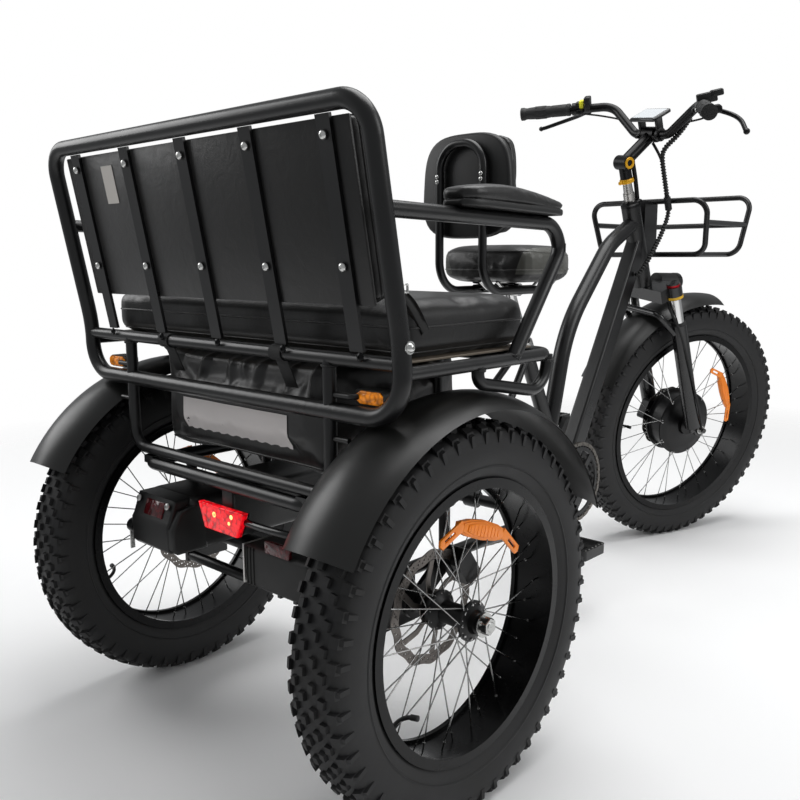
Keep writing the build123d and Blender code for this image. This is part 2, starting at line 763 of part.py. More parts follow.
def make_chassis():
    """The lower rails that carry the axle, and the rack loop above them."""
    rails = bent_tube([(-chassis_half_width, chassis_rear_y, chassis_rail_z),
                       (-chassis_half_width, chassis_front_y, chassis_rail_z),
                       (chassis_half_width, chassis_front_y, chassis_rail_z),
                       (chassis_half_width, chassis_rear_y, chassis_rail_z)],
                      chassis_rail_radius, [chassis_bend, chassis_bend])
    rear = rod((-chassis_half_width, lower_cross_y, lower_cross_z),
               (chassis_half_width, lower_cross_y, lower_cross_z), lower_cross_radius)
    rack = bent_tube([(-rack_half_width, rack_rear_y, rack_z), (rack_half_width, rack_rear_y, rack_z),
                      (rack_half_width, rack_front_y, rack_z), (-rack_half_width, rack_front_y, rack_z)],
                     chassis_rail_radius, rack_bend, closed=True)
    chassis = rails + rear + rack
    plate_back = lower_cross_y - lower_cross_radius
    plate_length = carrier_flange_radius - plate_back
    for side in (-1, 1):
        low = lower_cross_z - lower_cross_radius
        plate = Pos(side * chassis_half_width, plate_back, (low + chassis_rail_z) / 2) * Box(
            carrier_thickness, plate_length, chassis_rail_z - low, align=(Align.CENTER, Align.MIN, Align.CENTER))
        chassis += plate
        lug_x = chainring_x + side * (cog_gap_half + carrier_thickness / 2)
        lug_top = rear_tyre_radius + carrier_flange_radius
        chassis += Pos(lug_x, plate_back, (low + lug_top) / 2) * Box(
            carrier_thickness, plate_length, lug_top - low, align=(Align.CENTER, Align.MIN, Align.CENTER))
        strut_x = side * (chassis_half_width + rack_half_width) / 2
        for y in (lower_cross_y, strut_y):
            chassis += rod((strut_x, y, chassis_rail_z), (strut_x, y, rack_z), bench_rail_radius)
        for x, y, top in ((post_x - 2 * saddle_block, rack_rear_y, post_loop_z - post_radius - seat_gap),
                          (rack_half_width, strut_y, rack_z + saddle_block)):
            chassis += Pos(side * x, y, (rack_z + top) / 2) * Box(saddle_block, chassis_rail_radius, top - rack_z)
    hole = Pos(0, 0, rear_tyre_radius) * disc(axle_tube_radius + seat_gap, 3 * chassis_half_width, 0)
    return chassis - hole


def make_axle_housing():
    """The axle tube with its bolted bearing flanges against the outside of the plates."""
    tube = disc(axle_tube_radius, 2 * axle_tube_half_length, 0)
    plate_face = chassis_half_width + carrier_thickness / 2
    housing = tube
    for side in (-1, 1):
        housing += disc(carrier_flange_radius, carrier_flange_thickness,
                        side * (plate_face + carrier_flange_thickness / 2))
    bore = disc(axle_shaft_radius + running_clearance, 2 * axle_tube_half_length + overrun, 0)
    gap = Box(2 * cog_gap_half, 4 * axle_tube_radius, 4 * axle_tube_radius)
    return Pos(0, 0, rear_tyre_radius) * (housing - bore - Pos(chainring_x, 0, 0) * gap)


def lean_y(z):
    """How far back the bench back stands at a height."""
    share = max(0, z - hoop_knee_z) / (hoop_top_z - hoop_knee_z)
    return hoop_y + (hoop_top_y - hoop_y) * share


lean = atan2(hoop_y - hoop_top_y, hoop_top_z - hoop_knee_z)


def make_bench_frame():
    w = hoop_half_width
    hoop = bent_tube([(-w, hoop_y, hoop_low_z), (w, hoop_y, hoop_low_z), (w, hoop_y, hoop_knee_z),
                      (w, hoop_top_y, hoop_top_z), (-w, hoop_top_y, hoop_top_z), (-w, hoop_y, hoop_knee_z)],
                     hoop_radius,
                     [hoop_low_corner, hoop_low_corner, hoop_knee_bend, hoop_top_corner, hoop_top_corner,
                      hoop_knee_bend], closed=True)
    cross_bars = (cushion_rear_y + cushion_thickness / 2, cushion_front_y - cushion_thickness / 2)
    tubes = [rod((-w, hoop_y, bench_rail_z), (w, hoop_y, bench_rail_z), bench_rail_radius),
             bent_tube([(-post_x, hoop_y, bench_rail_z), (-post_x, hoop_y, post_loop_z),
                        (post_x, hoop_y, post_loop_z), (post_x, hoop_y, bench_rail_z)],
                       post_radius, [post_corner, post_corner]),
             bent_tube([(-w, hoop_y, side_rail_z), (-w, bench_front_y, side_rail_z),
                        (w, bench_front_y, side_rail_z), (w, hoop_y, side_rail_z)],
                       bench_rail_radius, [bench_corner, bench_corner])]
    for y in cross_bars:
        tubes.append(rod((-w, y, side_rail_z), (w, y, side_rail_z), bench_rail_radius))
    foot = rack_z + saddle_block + seat_gap
    for side in (-1, 1):
        x = side * w
        tubes.append(bent_tube([(x, lean_y(arm_z), arm_z), (x, arm_front_y, arm_z - arm_fall),
                                (x, arm_front_y, arm_elbow_z), (x, arm_foot_y, side_rail_z)],
                               arm_radius, [arm_bend, arm_bend]))
        tubes.append(bent_tube([(x, loop_rear_y, side_rail_z), (x, loop_rear_y, side_rail_z - loop_rear_drop),
                                (x, loop_front_y, side_rail_z - loop_front_drop), (x, loop_front_y, side_rail_z)],
                               loop_tube_radius, [loop_rear_bend, loop_front_bend]))
        tubes.append(rod((side * rack_half_width, cross_bars[0], side_rail_z),
                         (side * rack_half_width, bench_front_y, side_rail_z), bench_rail_radius))
        tubes.append(rod((side * rack_half_width, strut_y, foot), (side * rack_half_width, strut_y, side_rail_z),
                         loop_tube_radius))
    return hoop + tubes


def on_back(x, z, thickness, offset):
    """A place on the leaning plane of the back, offset forward from its middle."""
    forward = Vector(0, cos(lean), sin(lean))
    base = Vector(x, lean_y(z), z) + forward * (offset + thickness / 2)
    return Pos(*base) * Rot(degrees(lean), 0, 0)


def make_slats():
    low = bench_rail_z + bench_rail_radius + slat_thickness / 2
    high = hoop_top_z - hoop_radius - seat_gap
    length = (high - low) / cos(lean)
    slats = None
    for index in range(-2, 3):
        slat = on_back(index * slat_spacing, (low + high) / 2, slat_thickness, -slat_thickness / 2) * Box(
            slat_width, slat_thickness, length)
        slats = slat if slats is None else slats + slat
    return slats


def make_panel():
    height = (panel_high_z - panel_low_z) / cos(lean)
    board = Box(2 * panel_half_width, panel_thickness, height)
    board = fillet(board.edges().filter_by(Axis.Y), panel_thickness / 2)
    return on_back(0, (panel_low_z + panel_high_z) / 2, panel_thickness, slat_thickness / 2 + panel_gap) * board


def make_cushion():
    length = cushion_front_y - cushion_rear_y
    block = Box(2 * cushion_half_width, length, cushion_thickness)
    block = fillet(block.edges().filter_by(Axis.Z), cushion_thickness / 2)
    block = fillet(block.edges().group_by(Axis.Z)[-1], cushion_thickness / 5)
    return Pos(0, (cushion_front_y + cushion_rear_y) / 2,
               side_rail_z + bench_rail_radius + seat_gap + cushion_thickness / 2) * block


def make_pads():
    pads = None
    for side in (-1, 1):
        slope = degrees(atan2(arm_fall, arm_front_y - lean_y(arm_z)))
        y = pad_rear_y + pad_length / 2
        z = arm_z - arm_fall * (y - lean_y(arm_z)) / (arm_front_y - lean_y(arm_z))
        pad = Box(pad_width, pad_length, pad_thickness + pad_base_thickness)
        pad = fillet(pad.edges().filter_by(Axis.Z), pad_corner)
        pad = fillet(pad.edges().group_by(Axis.Z)[-1], pad_thickness / 3)
        pad = Pos(side * hoop_half_width, y, z + arm_radius + seat_gap + (pad_thickness + pad_base_thickness) / 2) * (
            Rot(-slope, 0, 0) * pad)
        pads = pad if pads is None else pads + pad
    return pads


def make_bag():
    bag_high_z = side_rail_z - bench_rail_radius - seat_gap
    size = (2 * bag_half_width, bag_front_y - bag_rear_y, bag_high_z - bag_low_z)
    bag = Box(*size)
    bag = fillet(bag.edges().filter_by(Axis.X), size[2] / 6)
    return Pos(0, (bag_front_y + bag_rear_y) / 2, (bag_low_z + bag_high_z) / 2) * bag


def make_lamps():
    lens = Box(lamp_width, lamp_depth, lamp_height)
    lens = fillet(lens.edges().filter_by(Axis.Y), lamp_height / 5)
    lamp_z = rack_z - tail_lamp_drop
    tail = Pos(lamp_x, lamp_y, lamp_z) * lens
    high = rack_z - chassis_rail_radius - seat_gap
    low = lamp_z + lamp_height / 2 - overrun
    tail += Pos(lamp_x, rack_rear_y, (high + low) / 2) * Box(lamp_depth, carrier_thickness, high - low)
    signals = None
    for side in (-1, 1):
        body = Box(signal_length, signal_depth, signal_height)
        body = Pos(side * signal_x, signal_y, signal_z) * fillet(body.edges().filter_by(Axis.Y), signal_height / 3)
        turn_x = side * (signal_x - signal_length / 2 + 2 * signal_stem_radius)
        stem = bent_tube([(side * (post_x + post_radius + seat_gap), hoop_y, signal_z), (turn_x, hoop_y, signal_z),
                          (turn_x, signal_y, signal_z)], signal_stem_radius, 2 * signal_stem_radius)
        piece = body + stem
        signals = piece if signals is None else signals + piece
    return tail, signals


def make_boxes():
    controller_depth = lower_cross_y - lower_cross_radius - seat_gap - controller_rear_y
    battery_x = battery_width / 2 + bench_rail_radius + seat_gap - (chassis_half_width + rack_half_width) / 2
    battery = Box(battery_width, battery_length, battery_height)
    battery = fillet(battery.edges().filter_by(Axis.Y), battery_height / 6)
    battery = Pos(battery_x, battery_rear_y + battery_length / 2, battery_low_z + battery_height / 2) * battery
    controller = Box(controller_width, controller_depth, controller_height)
    controller = fillet(controller.edges().filter_by(Axis.Z), controller_depth / 8)
    controller = Pos(controller_x, controller_rear_y + controller_depth / 2,
                     controller_low_z + controller_height / 2) * controller
    return battery, controller


def make_rear_fenders():
    radius = rear_tyre_radius + fender_gap
    fenders = None
    for side in (-1, 1):
        fender = Pos(side * track_width / 2, 0, rear_tyre_radius) * make_fender(
            radius, fender_front_deg, fender_rear_deg, fender_half_width)
        edge_x = side * (track_width / 2 - fender_half_width + fender_wall / 2)
        edge_radius = radius - fender_drop + fender_wall
        for x, y, z in ((post_x + post_radius + seat_gap, hoop_y, None),
                        (rack_half_width + chassis_rail_radius + 0.4 * stay_radius, fender_stay_y, rack_z)):
            edge_z = rear_tyre_radius + edge_radius * cos(asin(y / edge_radius))
            fender += rod((side * x, y, edge_z if z is None else z), (edge_x, y, edge_z), stay_radius / 2)
        fenders = fender if fenders is None else fenders + fender
    return fenders


def make_saddle_parts():
    clamp = Vector(0, seat_clamp_y, seat_clamp_z)
    post = rod(seat_tube_top - seat_way * (seat_insert - overrun), clamp, seat_post_radius)
    head = Pos(*clamp) * disc(seat_post_radius, saddle_rail_gap + 2 * rest_tube_radius, 0)
    post = post + head
    for side in (-1, 1):
        x = side * saddle_rail_x
        rear = saddle_rear_y + saddle_rail_inset
        front = saddle_rear_y + saddle_length - saddle_rail_inset
        top = saddle_low_z - seat_gap
        post += bent_tube([(x, rear, top), (x, rear + saddle_rail_inset, saddle_rail_z),
                           (x, front - saddle_rail_inset, saddle_rail_z), (x, front, top)],
                          saddle_rail_radius, 2 * saddle_rail_radius)
    post -= Pos(0, saddle_rear_y + saddle_length / 2, top + saddle_thickness / 2) * Box(
        saddle_width, saddle_length, saddle_thickness)
    plan = [(share_x * saddle_width, share_y * saddle_length) for share_x, share_y in saddle_plan_shares]
    plan += [(-x, y) for x, y in reversed(plan)]
    saddle = extrude(make_face(Polyline(*plan, close=True)), saddle_thickness)
    saddle = fillet(saddle.edges().filter_by(Axis.Z), saddle_corner)
    saddle = fillet(saddle.edges().group_by(Axis.Z)[-1], saddle_thickness / 3)
    saddle = Pos(0, saddle_rear_y, saddle_low_z) * saddle
    half = rest_tube_half_gap
    top = rest_low_z + rest_height * rest_hoop_share
    tubes = bent_tube([(-half, saddle_rear_y + saddle_length / 2, seat_clamp_z),
                       (-half, rest_tube_y, seat_clamp_z), (-half, rest_tube_y, top),
                       (half, rest_tube_y, top), (half, rest_tube_y, seat_clamp_z),
                       (half, saddle_rear_y + saddle_length / 2, seat_clamp_z)],
                      rest_tube_radius, [rest_tube_bend, half * rest_hoop_share, half * rest_hoop_share, rest_tube_bend])
    head_half = saddle_rail_gap / 2 + rest_tube_radius
    for side in (-1, 1):
        tubes += rod((side * half, seat_clamp_y, seat_clamp_z), (side * (head_half + seat_gap), seat_clamp_y, seat_clamp_z),
                     rest_stub_radius)
    pad = Box(rest_width, rest_thickness, rest_height)
    pad = fillet(pad.edges().filter_by(Axis.Y), rest_width / 4)
    pad = Pos(0, rest_tube_y + rest_tube_radius + seat_gap + rest_thickness / 2, rest_low_z + rest_height / 2) * pad
    return post, saddle, tubes, pad


def make_basket():
    def hoop(y, top, foot_y):
        w = basket_half_width
        low = basket_low_z
        narrow = w - basket_taper / 2
        return bent_tube([(-narrow, foot_y, low), (-w, y, top), (w, y, top), (narrow, foot_y, low)],
                         basket_tube_radius, [basket_corner, basket_corner, basket_corner, basket_corner], closed=True)
    rear = hoop(basket_rear_y, basket_rear_top_z, basket_rear_y + basket_taper)
    front = hoop(basket_front_y, basket_front_top_z, basket_front_y - basket_taper)
    basket = rear + front
    half = basket_half_width - basket_taper / 4
    back = basket_rear_y + basket_taper / 2
    ahead = basket_front_y - basket_taper / 2
    for side in (-1, 1):
        basket += rod((side * half, back, basket_rail_z), (side * half, ahead, basket_rail_z), basket_tube_radius)
    for share in basket_bar_shares:
        x = share * (basket_half_width - basket_taper / 2)
        basket += rod((x, basket_rear_y + basket_taper, basket_low_z), (x, basket_front_y - basket_taper, basket_low_z),
                      basket_bar_radius)
    basket += rod((-half, ahead, basket_rail_z), (half, ahead, basket_rail_z), basket_tube_radius)
    plate_z = (basket_low_z + basket_rear_top_z) / 2
    near = head_top_y + (head_top_z - plate_z) * tan(rake) + head_tube_radius / cos(rake)
    plate_length = basket_rear_y + basket_taper / 2 - near + 2 * overrun
    plate = Pos(0, near - overrun + plate_length / 2, plate_z) * Box(
        down_tube_width, plate_length, basket_rear_top_z - basket_low_z)
    core = rod(axis_point(-head_tube_length), axis_point(2 * head_tube_length), head_tube_radius + seat_gap)
    return basket + (plate - core)


def make_crank():
    spindle = disc(spindle_radius, 2 * crank_arm_x, 0)
    ring_plate = toothed(chainring_radius, chainring_teeth, chainring_thickness, chainring_x)
    ring_plate -= disc(chainring_radius - crank_arm_width / 2, 2 * chainring_thickness, chainring_x)
    boss = disc(hub_flange_radius, chainring_thickness, chainring_x)
    crank = spindle + ring_plate + boss
    reach = chainring_radius - crank_arm_width / 4
    for index in range(spider_count):
        crank += Rot(index * 360 / spider_count, 0, 0) * Pos(chainring_x, 0, reach / 2) * Box(
            chainring_thickness, crank_arm_width * spider_share, reach)
    for side, turn in ((1, 180), (-1, 0)):
        arm = Pos(side * crank_arm_x, 0, crank_length / 2) * Box(
            crank_arm_thickness, crank_arm_width, crank_length + crank_arm_width)
        arm = fillet(arm.edges().filter_by(Axis.X), crank_arm_width * crank_end_share)
        eye = Pos(0, 0, crank_length) * disc(pedal_axle_radius + running_clearance, 4 * crank_arm_x, 0)
        crank += Rot(turn, 0, 0) * (arm - eye)
    turn = Rot(crank_angle_deg, 0, 0)
    crank = Pos(*bracket) * turn * crank
    pedals = {}
    for name, side, flip_deg in (("right", 1, 180), ("left", -1, 0)):
        eye = Vector(0, 0, crank_length).rotate(Axis.X, crank_angle_deg + flip_deg)
        centre = bracket + eye
        axle_start = crank_arm_x - crank_arm_thickness / 2
        body_start = crank_arm_x + crank_arm_thickness / 2 + pedal_gap
        axle = disc(pedal_axle_radius, body_start - axle_start + overrun, (body_start + axle_start + overrun) / 2)
        body = Box(pedal_width, pedal_length, pedal_thickness)
        body = fillet(body.edges().filter_by(Axis.Z), pedal_thickness / 2)
        window = Box(pedal_width * pedal_window_shares[0], pedal_length * pedal_window_shares[1], 2 * pedal_thickness)
        holes = Pos(0, pedal_length / 4, 0) * window
        holes += Pos(0, -pedal_length / 4, 0) * window
        pedal = axle + Pos(body_start + pedal_width / 2, 0, 0) * (body - holes)
        if side < 0:
            pedal = mirrored(pedal)
        pedals[f"pedal_{name}"] = Pos(*centre) * pedal
    return crank, pedals


def make_chain():
    """The chain as one closed row of links, each narrow in its middle, round the chainring and the axle cog."""
    front = (bottom_bracket_y, bottom_bracket_z)
    span = hypot(front[0], front[1] - rear_tyre_radius)
    slope = degrees(atan2(front[1] - rear_tyre_radius, front[0]))
    middle = chain_clearance + chain_height / 2
    big = chainring_radius + middle
    small = cog_radius + middle
    gap = asin((big - small) / span)
    straight = span * cos(gap)
    wraps = ((pi + 2 * gap) * big, (pi - 2 * gap) * small)
    whole = 2 * straight + wraps[0] + wraps[1]
    count = 2 * round(whole / chain_pitch)
    outer = []
    inner = []
    for index in range(count):
        along = whole * index / count
        if along < straight:
            turn = pi / 2 + gap
            y = small * cos(turn) + along * cos(turn - pi / 2)
            z = small * sin(turn) + along * sin(turn - pi / 2)
        elif along < straight + wraps[0]:
            turn = pi / 2 + gap - (along - straight) / big
            y = span + big * cos(turn)
            z = big * sin(turn)
        elif along < 2 * straight + wraps[0]:
            left = along - straight - wraps[0]
            turn = -pi / 2 - gap
            y = span + big * cos(turn) + left * cos(turn - pi / 2)
            z = big * sin(turn) + left * sin(turn - pi / 2)
        else:
            turn = -pi / 2 - gap - (along - 2 * straight - wraps[0]) / small
            y = small * cos(turn)
            z = small * sin(turn)
        half = chain_height / 2 * (chain_waist_share if index % 2 else 1)
        outer.append((y + half * cos(turn), z + half * sin(turn)))
        inner.append((y - half * cos(turn), z - half * sin(turn)))
    links = make_face(Polyline(*outer, close=True)) - make_face(Polyline(*inner, close=True))
    plane = Plane(origin=(chainring_x, 0, rear_tyre_radius), x_dir=(0, cos(radians(slope)), sin(radians(slope))),
                  z_dir=(1, 0, 0))
    return plane * extrude(links, chain_width / 2, both=True)


def make_calipers():
    """A brake caliper on a bracket off each end of the axle tube."""
    calipers = None
    slot = rotor_thickness + 2 * rotor_gap
    for side in (-1, 1):
        x = side * (track_width / 2 - rotor_offset)
        body = Pos(x, 0, caliper_reach) * Box(caliper_width, caliper_length, caliper_height)
        body = fillet(body.edges().filter_by(Axis.X), caliper_height / 4)
        body -= Pos(x, 0, caliper_reach - overrun) * Box(slot, 2 * caliper_length, caliper_height)
        plate_x = side * (axle_tube_half_length - carrier_thickness)
        plate = Pos(plate_x, 0, caliper_reach / 2) * Box(carrier_thickness, 2 * axle_tube_radius, caliper_reach)
        eye = disc(carrier_flange_radius, carrier_thickness, plate_x)
        hole = disc(axle_tube_radius + seat_gap, 2 * carrier_thickness, plate_x)
        foot_x = side * (axle_tube_half_length - carrier_thickness / 2)
        foot = Pos((foot_x + x) / 2 - side * slot / 2, 0, caliper_reach + overrun) * Box(
            abs(x - foot_x) - slot, 2 * axle_tube_radius, caliper_height / 2)
        piece = Rot(-caliper_deg, 0, 0) * (body + foot + plate + eye - hole)
        calipers = piece if calipers is None else calipers + piece
    return Pos(0, 0, rear_tyre_radius) * calipers


def make_front_caliper():
    slot = rotor_thickness + 2 * rotor_gap
    body = Pos(-front_rotor_offset, 0, caliper_reach) * Box(
        front_caliper_width, caliper_length, caliper_height)
    body = fillet(body.edges().filter_by(Axis.X), caliper_height / 4)
    body -= Pos(-front_rotor_offset, 0, caliper_reach - overrun) * Box(slot, 2 * caliper_length, caliper_height)
    return Pos(0, fork_offset, -axle_drop) * Rot(front_caliper_deg, 0, 0) * body


def make_looms():
    """The cable bundle: one length turns with the bars, the other runs down the head tube."""
    rise = Vector(bar_rise_out - bar_flat_half, bar_rise_forward - bar_forward, bar_rise_height - bar_height)
    way = rise.normalized()
    out = Vector(0, cos(rake), -sin(rake)) * (bar_radius + loom_radius + seat_gap)
    middle = Vector(bar_flat_half, bar_forward, bar_height) + rise / 2 + out
    low = middle - way * (rise.length / 3)
    bar_points = [(middle.X, middle.Y, middle.Z), (low.X, low.Y, low.Z),
                  (loom_x, loom_forward, collar_height),
                  (loom_x, loom_forward, loom_break)]
    upper = steering * bent_tube(bar_points, loom_radius, loom_bend)
    top = (steering * Pos(loom_x, loom_forward, loom_break)).position
    under = (steering * Pos(loom_x, loom_forward, loom_break - 2 * loom_bend)).position
    lower = bent_tube([(top.X, top.Y, top.Z), (under.X, under.Y, under.Z), (loom_foot_x, loom_foot_y, loom_foot_z),
                       (down_tube_width / 2, loom_foot_y, loom_foot_z)],
                      loom_radius, [loom_bend, loom_foot_bend])
    return upper, lower


parts = make_wheel_set()
front_wheel_parts, front_axle = make_front_wheel()
parts.update(front_wheel_parts)
parts.update(make_steering())
parts["fork_lowers"] = parts["fork_lowers"] + front_axle
parts["main_frame"] = make_main_frame()
parts["rear_chassis"] = make_chassis()
parts["axle_housing"] = make_axle_housing()
parts["bench_frame"] = make_bench_frame()
parts["backrest_slats"] = make_slats()
parts["bench_backrest"] = make_panel()
parts["bench_cushion"] = make_cushion()
parts["armrest_pads"] = make_pads()
parts["cargo_bag"] = make_bag()
parts["tail_lamp"], parts["turn_signals"] = make_lamps()
parts["battery_case"], parts["controller_box"] = make_boxes()
parts["rear_fenders"] = make_rear_fenders()
parts["seat_post"], parts["saddle"], parts["backrest_tubes"], parts["saddle_backrest"] = make_saddle_parts()
parts["basket"] = make_basket()
parts["crankset"], pedals = make_crank()
parts.update(pedals)
parts["chain"] = make_chain()
parts["rear_calipers"] = make_calipers()
parts["front_caliper"] = steering * make_front_caliper()
parts["bar_loom"], parts["frame_loom"] = make_looms()

os.makedirs("parts", exist_ok=True)
middle_y = (parts["front_tyre"].bounding_box().max.Y - rear_tyre_radius) / 2
for name, shape in parts.items():
    export_step(Pos(0, -middle_y, 0) * shape, f"parts/{name}.step")
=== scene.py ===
import bmesh
import bpy
from math import atan2, cos, pi, radians, sin, sqrt
from mathutils import Matrix, Vector, noise
from mathutils.bvhtree import BVHTree


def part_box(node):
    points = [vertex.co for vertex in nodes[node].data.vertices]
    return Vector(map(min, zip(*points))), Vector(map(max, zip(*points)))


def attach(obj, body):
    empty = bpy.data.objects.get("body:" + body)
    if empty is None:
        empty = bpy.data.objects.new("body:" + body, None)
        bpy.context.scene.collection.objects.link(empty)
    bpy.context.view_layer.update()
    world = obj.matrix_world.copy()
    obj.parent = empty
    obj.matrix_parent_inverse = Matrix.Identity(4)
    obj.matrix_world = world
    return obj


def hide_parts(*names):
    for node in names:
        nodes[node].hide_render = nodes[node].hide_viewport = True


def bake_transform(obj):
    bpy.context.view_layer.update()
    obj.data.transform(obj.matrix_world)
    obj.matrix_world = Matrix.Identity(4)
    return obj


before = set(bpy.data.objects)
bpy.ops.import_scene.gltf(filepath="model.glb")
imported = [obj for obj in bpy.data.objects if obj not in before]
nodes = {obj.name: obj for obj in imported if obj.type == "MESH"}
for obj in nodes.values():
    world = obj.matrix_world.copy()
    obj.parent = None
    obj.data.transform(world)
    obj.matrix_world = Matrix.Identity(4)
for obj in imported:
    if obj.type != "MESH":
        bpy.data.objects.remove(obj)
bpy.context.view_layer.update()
scene = bpy.context.scene
rear_axle_y = sum(corner[1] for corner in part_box("right_rim")) / 2
scene.view_settings.view_transform = "Standard"

# The studio: white paper on the floor that fades into a white surround, one large soft
# lamp overhead and two at the sides, and a camera behind the right rear wheel, about as
# high as the seat.
camera_yaw, camera_pitch, camera_roll = radians(42.76), radians(-9.3), radians(-0.21)
camera_spot, focal_length, sensor_width = (1106.7, -934.7, 805.6), 39.04, 36
floor_half, fade_start, fade_end = 9, 1.3, 3.2
lamp_aim = Vector((0, -0.1, 0.4))


def linear(hex_colour):
    """An sRGB hex colour as linear red, green and blue, with alpha 1."""
    parts = [int(hex_colour[i:i + 2], 16) / 255 for i in (1, 3, 5)]
    return [c / 12.92 if c <= 0.04045 else ((c + 0.055) / 1.055) ** 2.4 for c in parts] + [1]


def add(tree, kind, links=(), **settings):
    """Adds a node with its settings; each link is (input, another node's output or a value)."""
    node = tree.nodes.new(kind)
    for name, value in settings.items():
        setattr(node, name, value)
    for name, value in links:
        if isinstance(value, bpy.types.NodeSocket):
            tree.links.new(value, node.inputs[name])
        else:
            node.inputs[name].default_value = value
    return node


def emptied(owner):
    """The node tree of a new world or material, with nothing in it yet."""
    owner.use_nodes = True
    owner.node_tree.nodes.clear()
    return owner.node_tree


def linked(name, data):
    """A new object of the scene that shows a mesh, lamp or camera."""
    shown = bpy.data.objects.new(name, data)
    scene.collection.objects.link(shown)
    return shown


def at(x, y, z):
    """A point given in millimetres from the floor below the rear axle, in metres in the frame."""
    return Vector((x / 1000, y / 1000 + rear_axle_y, z / 1000))


ahead = Vector((-sin(camera_yaw) * cos(camera_pitch), cos(camera_yaw) * cos(camera_pitch), sin(camera_pitch)))
level = Vector((cos(camera_yaw), sin(camera_yaw), 0))
upright = level.cross(ahead)
camera_right = level * cos(camera_roll) + upright * sin(camera_roll)
camera_top = upright * cos(camera_roll) - level * sin(camera_roll)
lens = bpy.data.cameras.new("camera")
lens.sensor_width = sensor_width
lens.lens = focal_length
scene.camera = linked("camera", lens)
scene.camera.matrix_world = (Matrix.Translation(at(*camera_spot))
                             @ Matrix((camera_right, camera_top, -ahead)).transposed().to_4x4())

scene.world = bpy.data.worlds.new("studio")
tree = emptied(scene.world)
rays = add(tree, "ShaderNodeLightPath")
seen = add(tree, "ShaderNodeMath", [(0, rays.outputs["Is Camera Ray"]),
                                    (1, rays.outputs["Is Transmission Ray"])],
           operation="MAXIMUM")
ambient = add(tree, "ShaderNodeBackground", [("Color", linear("#f4f6f8")), ("Strength", 0.36)])
white = add(tree, "ShaderNodeBackground", [("Color", (1, 1, 1, 1)), ("Strength", 1.0)])
both = add(tree, "ShaderNodeMixShader", [(0, seen.outputs[0]), (1, ambient.outputs[0]),
                                         (2, white.outputs[0])])
add(tree, "ShaderNodeOutputWorld", [("Surface", both.outputs[0])])

floor_mesh = bpy.data.meshes.new("studio_floor")
floor_mesh.from_pydata([(x * floor_half, y * floor_half, 0)
                        for x, y in ((-1, -1), (1, -1), (1, 1), (-1, 1))], [],
                       [(0, 1, 2, 3)])
paper = bpy.data.materials.new("floor_paper")
tree = emptied(paper)
spot = add(tree, "ShaderNodeTexCoord")
reach = add(tree, "ShaderNodeVectorMath", [(0, spot.outputs["Object"])], operation="LENGTH")
fade = add(tree, "ShaderNodeMapRange", [("Value", reach.outputs["Value"]), ("From Min", fade_start),
                                        ("From Max", fade_end)])
matt = add(tree, "ShaderNodeBsdfDiffuse", [("Color", linear("#fbfbfb"))])
clear = add(tree, "ShaderNodeBsdfTransparent")
mixed = add(tree, "ShaderNodeMixShader", [(0, fade.outputs[0]), (1, matt.outputs[0]), (2, clear.outputs[0])])
add(tree, "ShaderNodeOutputMaterial", [("Surface", mixed.outputs[0])])
floor_mesh.materials.append(paper)
linked("studio_floor", floor_mesh)

for name, place, size, watts in (("overhead_softbox", (0.2, 0.3, 3.4), 2.6, 82),
                                 ("left_softbox", (-3.0, -1.9, 2.3), 2.0, 42),
                                 ("right_softbox", (3.0, 0.8, 2.2), 1.8, 30)):
    glow = bpy.data.lights.new(name, "AREA")
    glow.size = size
    glow.energy = watts
    lamp = linked(name, glow)
    lamp.location = place
    lamp.rotation_euler = (lamp_aim - Vector(place)).to_track_quat("-Z", "Y").to_euler()

# The welded frame: main frame, rear chassis, bench frame with its flat slats, basket and
# the saddle's back hoop. Mild steel tube, MIG welded, and coated in satin black powder,
# which shows a fine orange peel, softened highlights and a slow drift of tone and gloss.


def coating(name, colour, rough, grain_mm, grain_height, metallic=0.0, drift=0.1, coat=0.0):
    """A surface with a fine grain of a real size, and a slow drift of shade and gloss."""
    made = bpy.data.materials.new(name)
    tree = emptied(made)
    place = add(tree, "ShaderNodeTexCoord").outputs["Object"]
    grain = add(tree, "ShaderNodeTexNoise", [("Vector", place), ("Scale", 1000 / grain_mm), ("Detail", 3.0)])
    slow = add(tree, "ShaderNodeTexNoise", [("Vector", place), ("Scale", 11.0), ("Detail", 4.0)])
    shade = add(tree, "ShaderNodeMix", [(0, slow.outputs["Fac"]),
                                        (6, [c * (1 - drift) for c in linear(colour)]),
                                        (7, [c * (1 + drift) for c in linear(colour)])], data_type="RGBA")
    gloss = add(tree, "ShaderNodeMapRange", [("Value", slow.outputs["Fac"]), ("From Min", 0.3),
                                             ("From Max", 0.7),
                                             ("To Min", rough * 0.85), ("To Max", rough * 1.15)])
    bump = add(tree, "ShaderNodeBump", [("Height", grain.outputs["Fac"]), ("Strength", grain_height),
                                        ("Distance", 0.0005)])
    shader = add(tree, "ShaderNodeBsdfPrincipled", [("Base Color", shade.outputs[2]), ("Metallic", metallic),
                                                    ("Roughness", gloss.outputs[0]),
                                                    ("Normal", bump.outputs[0]),
                                                    ("Coat Weight", coat)])
    add(tree, "ShaderNodeOutputMaterial", [("Surface", shader.outputs[0])])
    return made


def dress(material, *names):
    """Gives CAD nodes their material."""
    for name in names:
        nodes[name].data.materials.clear()
        nodes[name].data.materials.append(material)


powder_coat = coating("black_powder_coat_on_steel", "#0d0d0e", 0.31, 1.3, 0.12, drift=0.12)
dress(powder_coat, "main_frame", "rear_chassis", "bench_frame", "backrest_slats", "basket", "backrest_tubes")

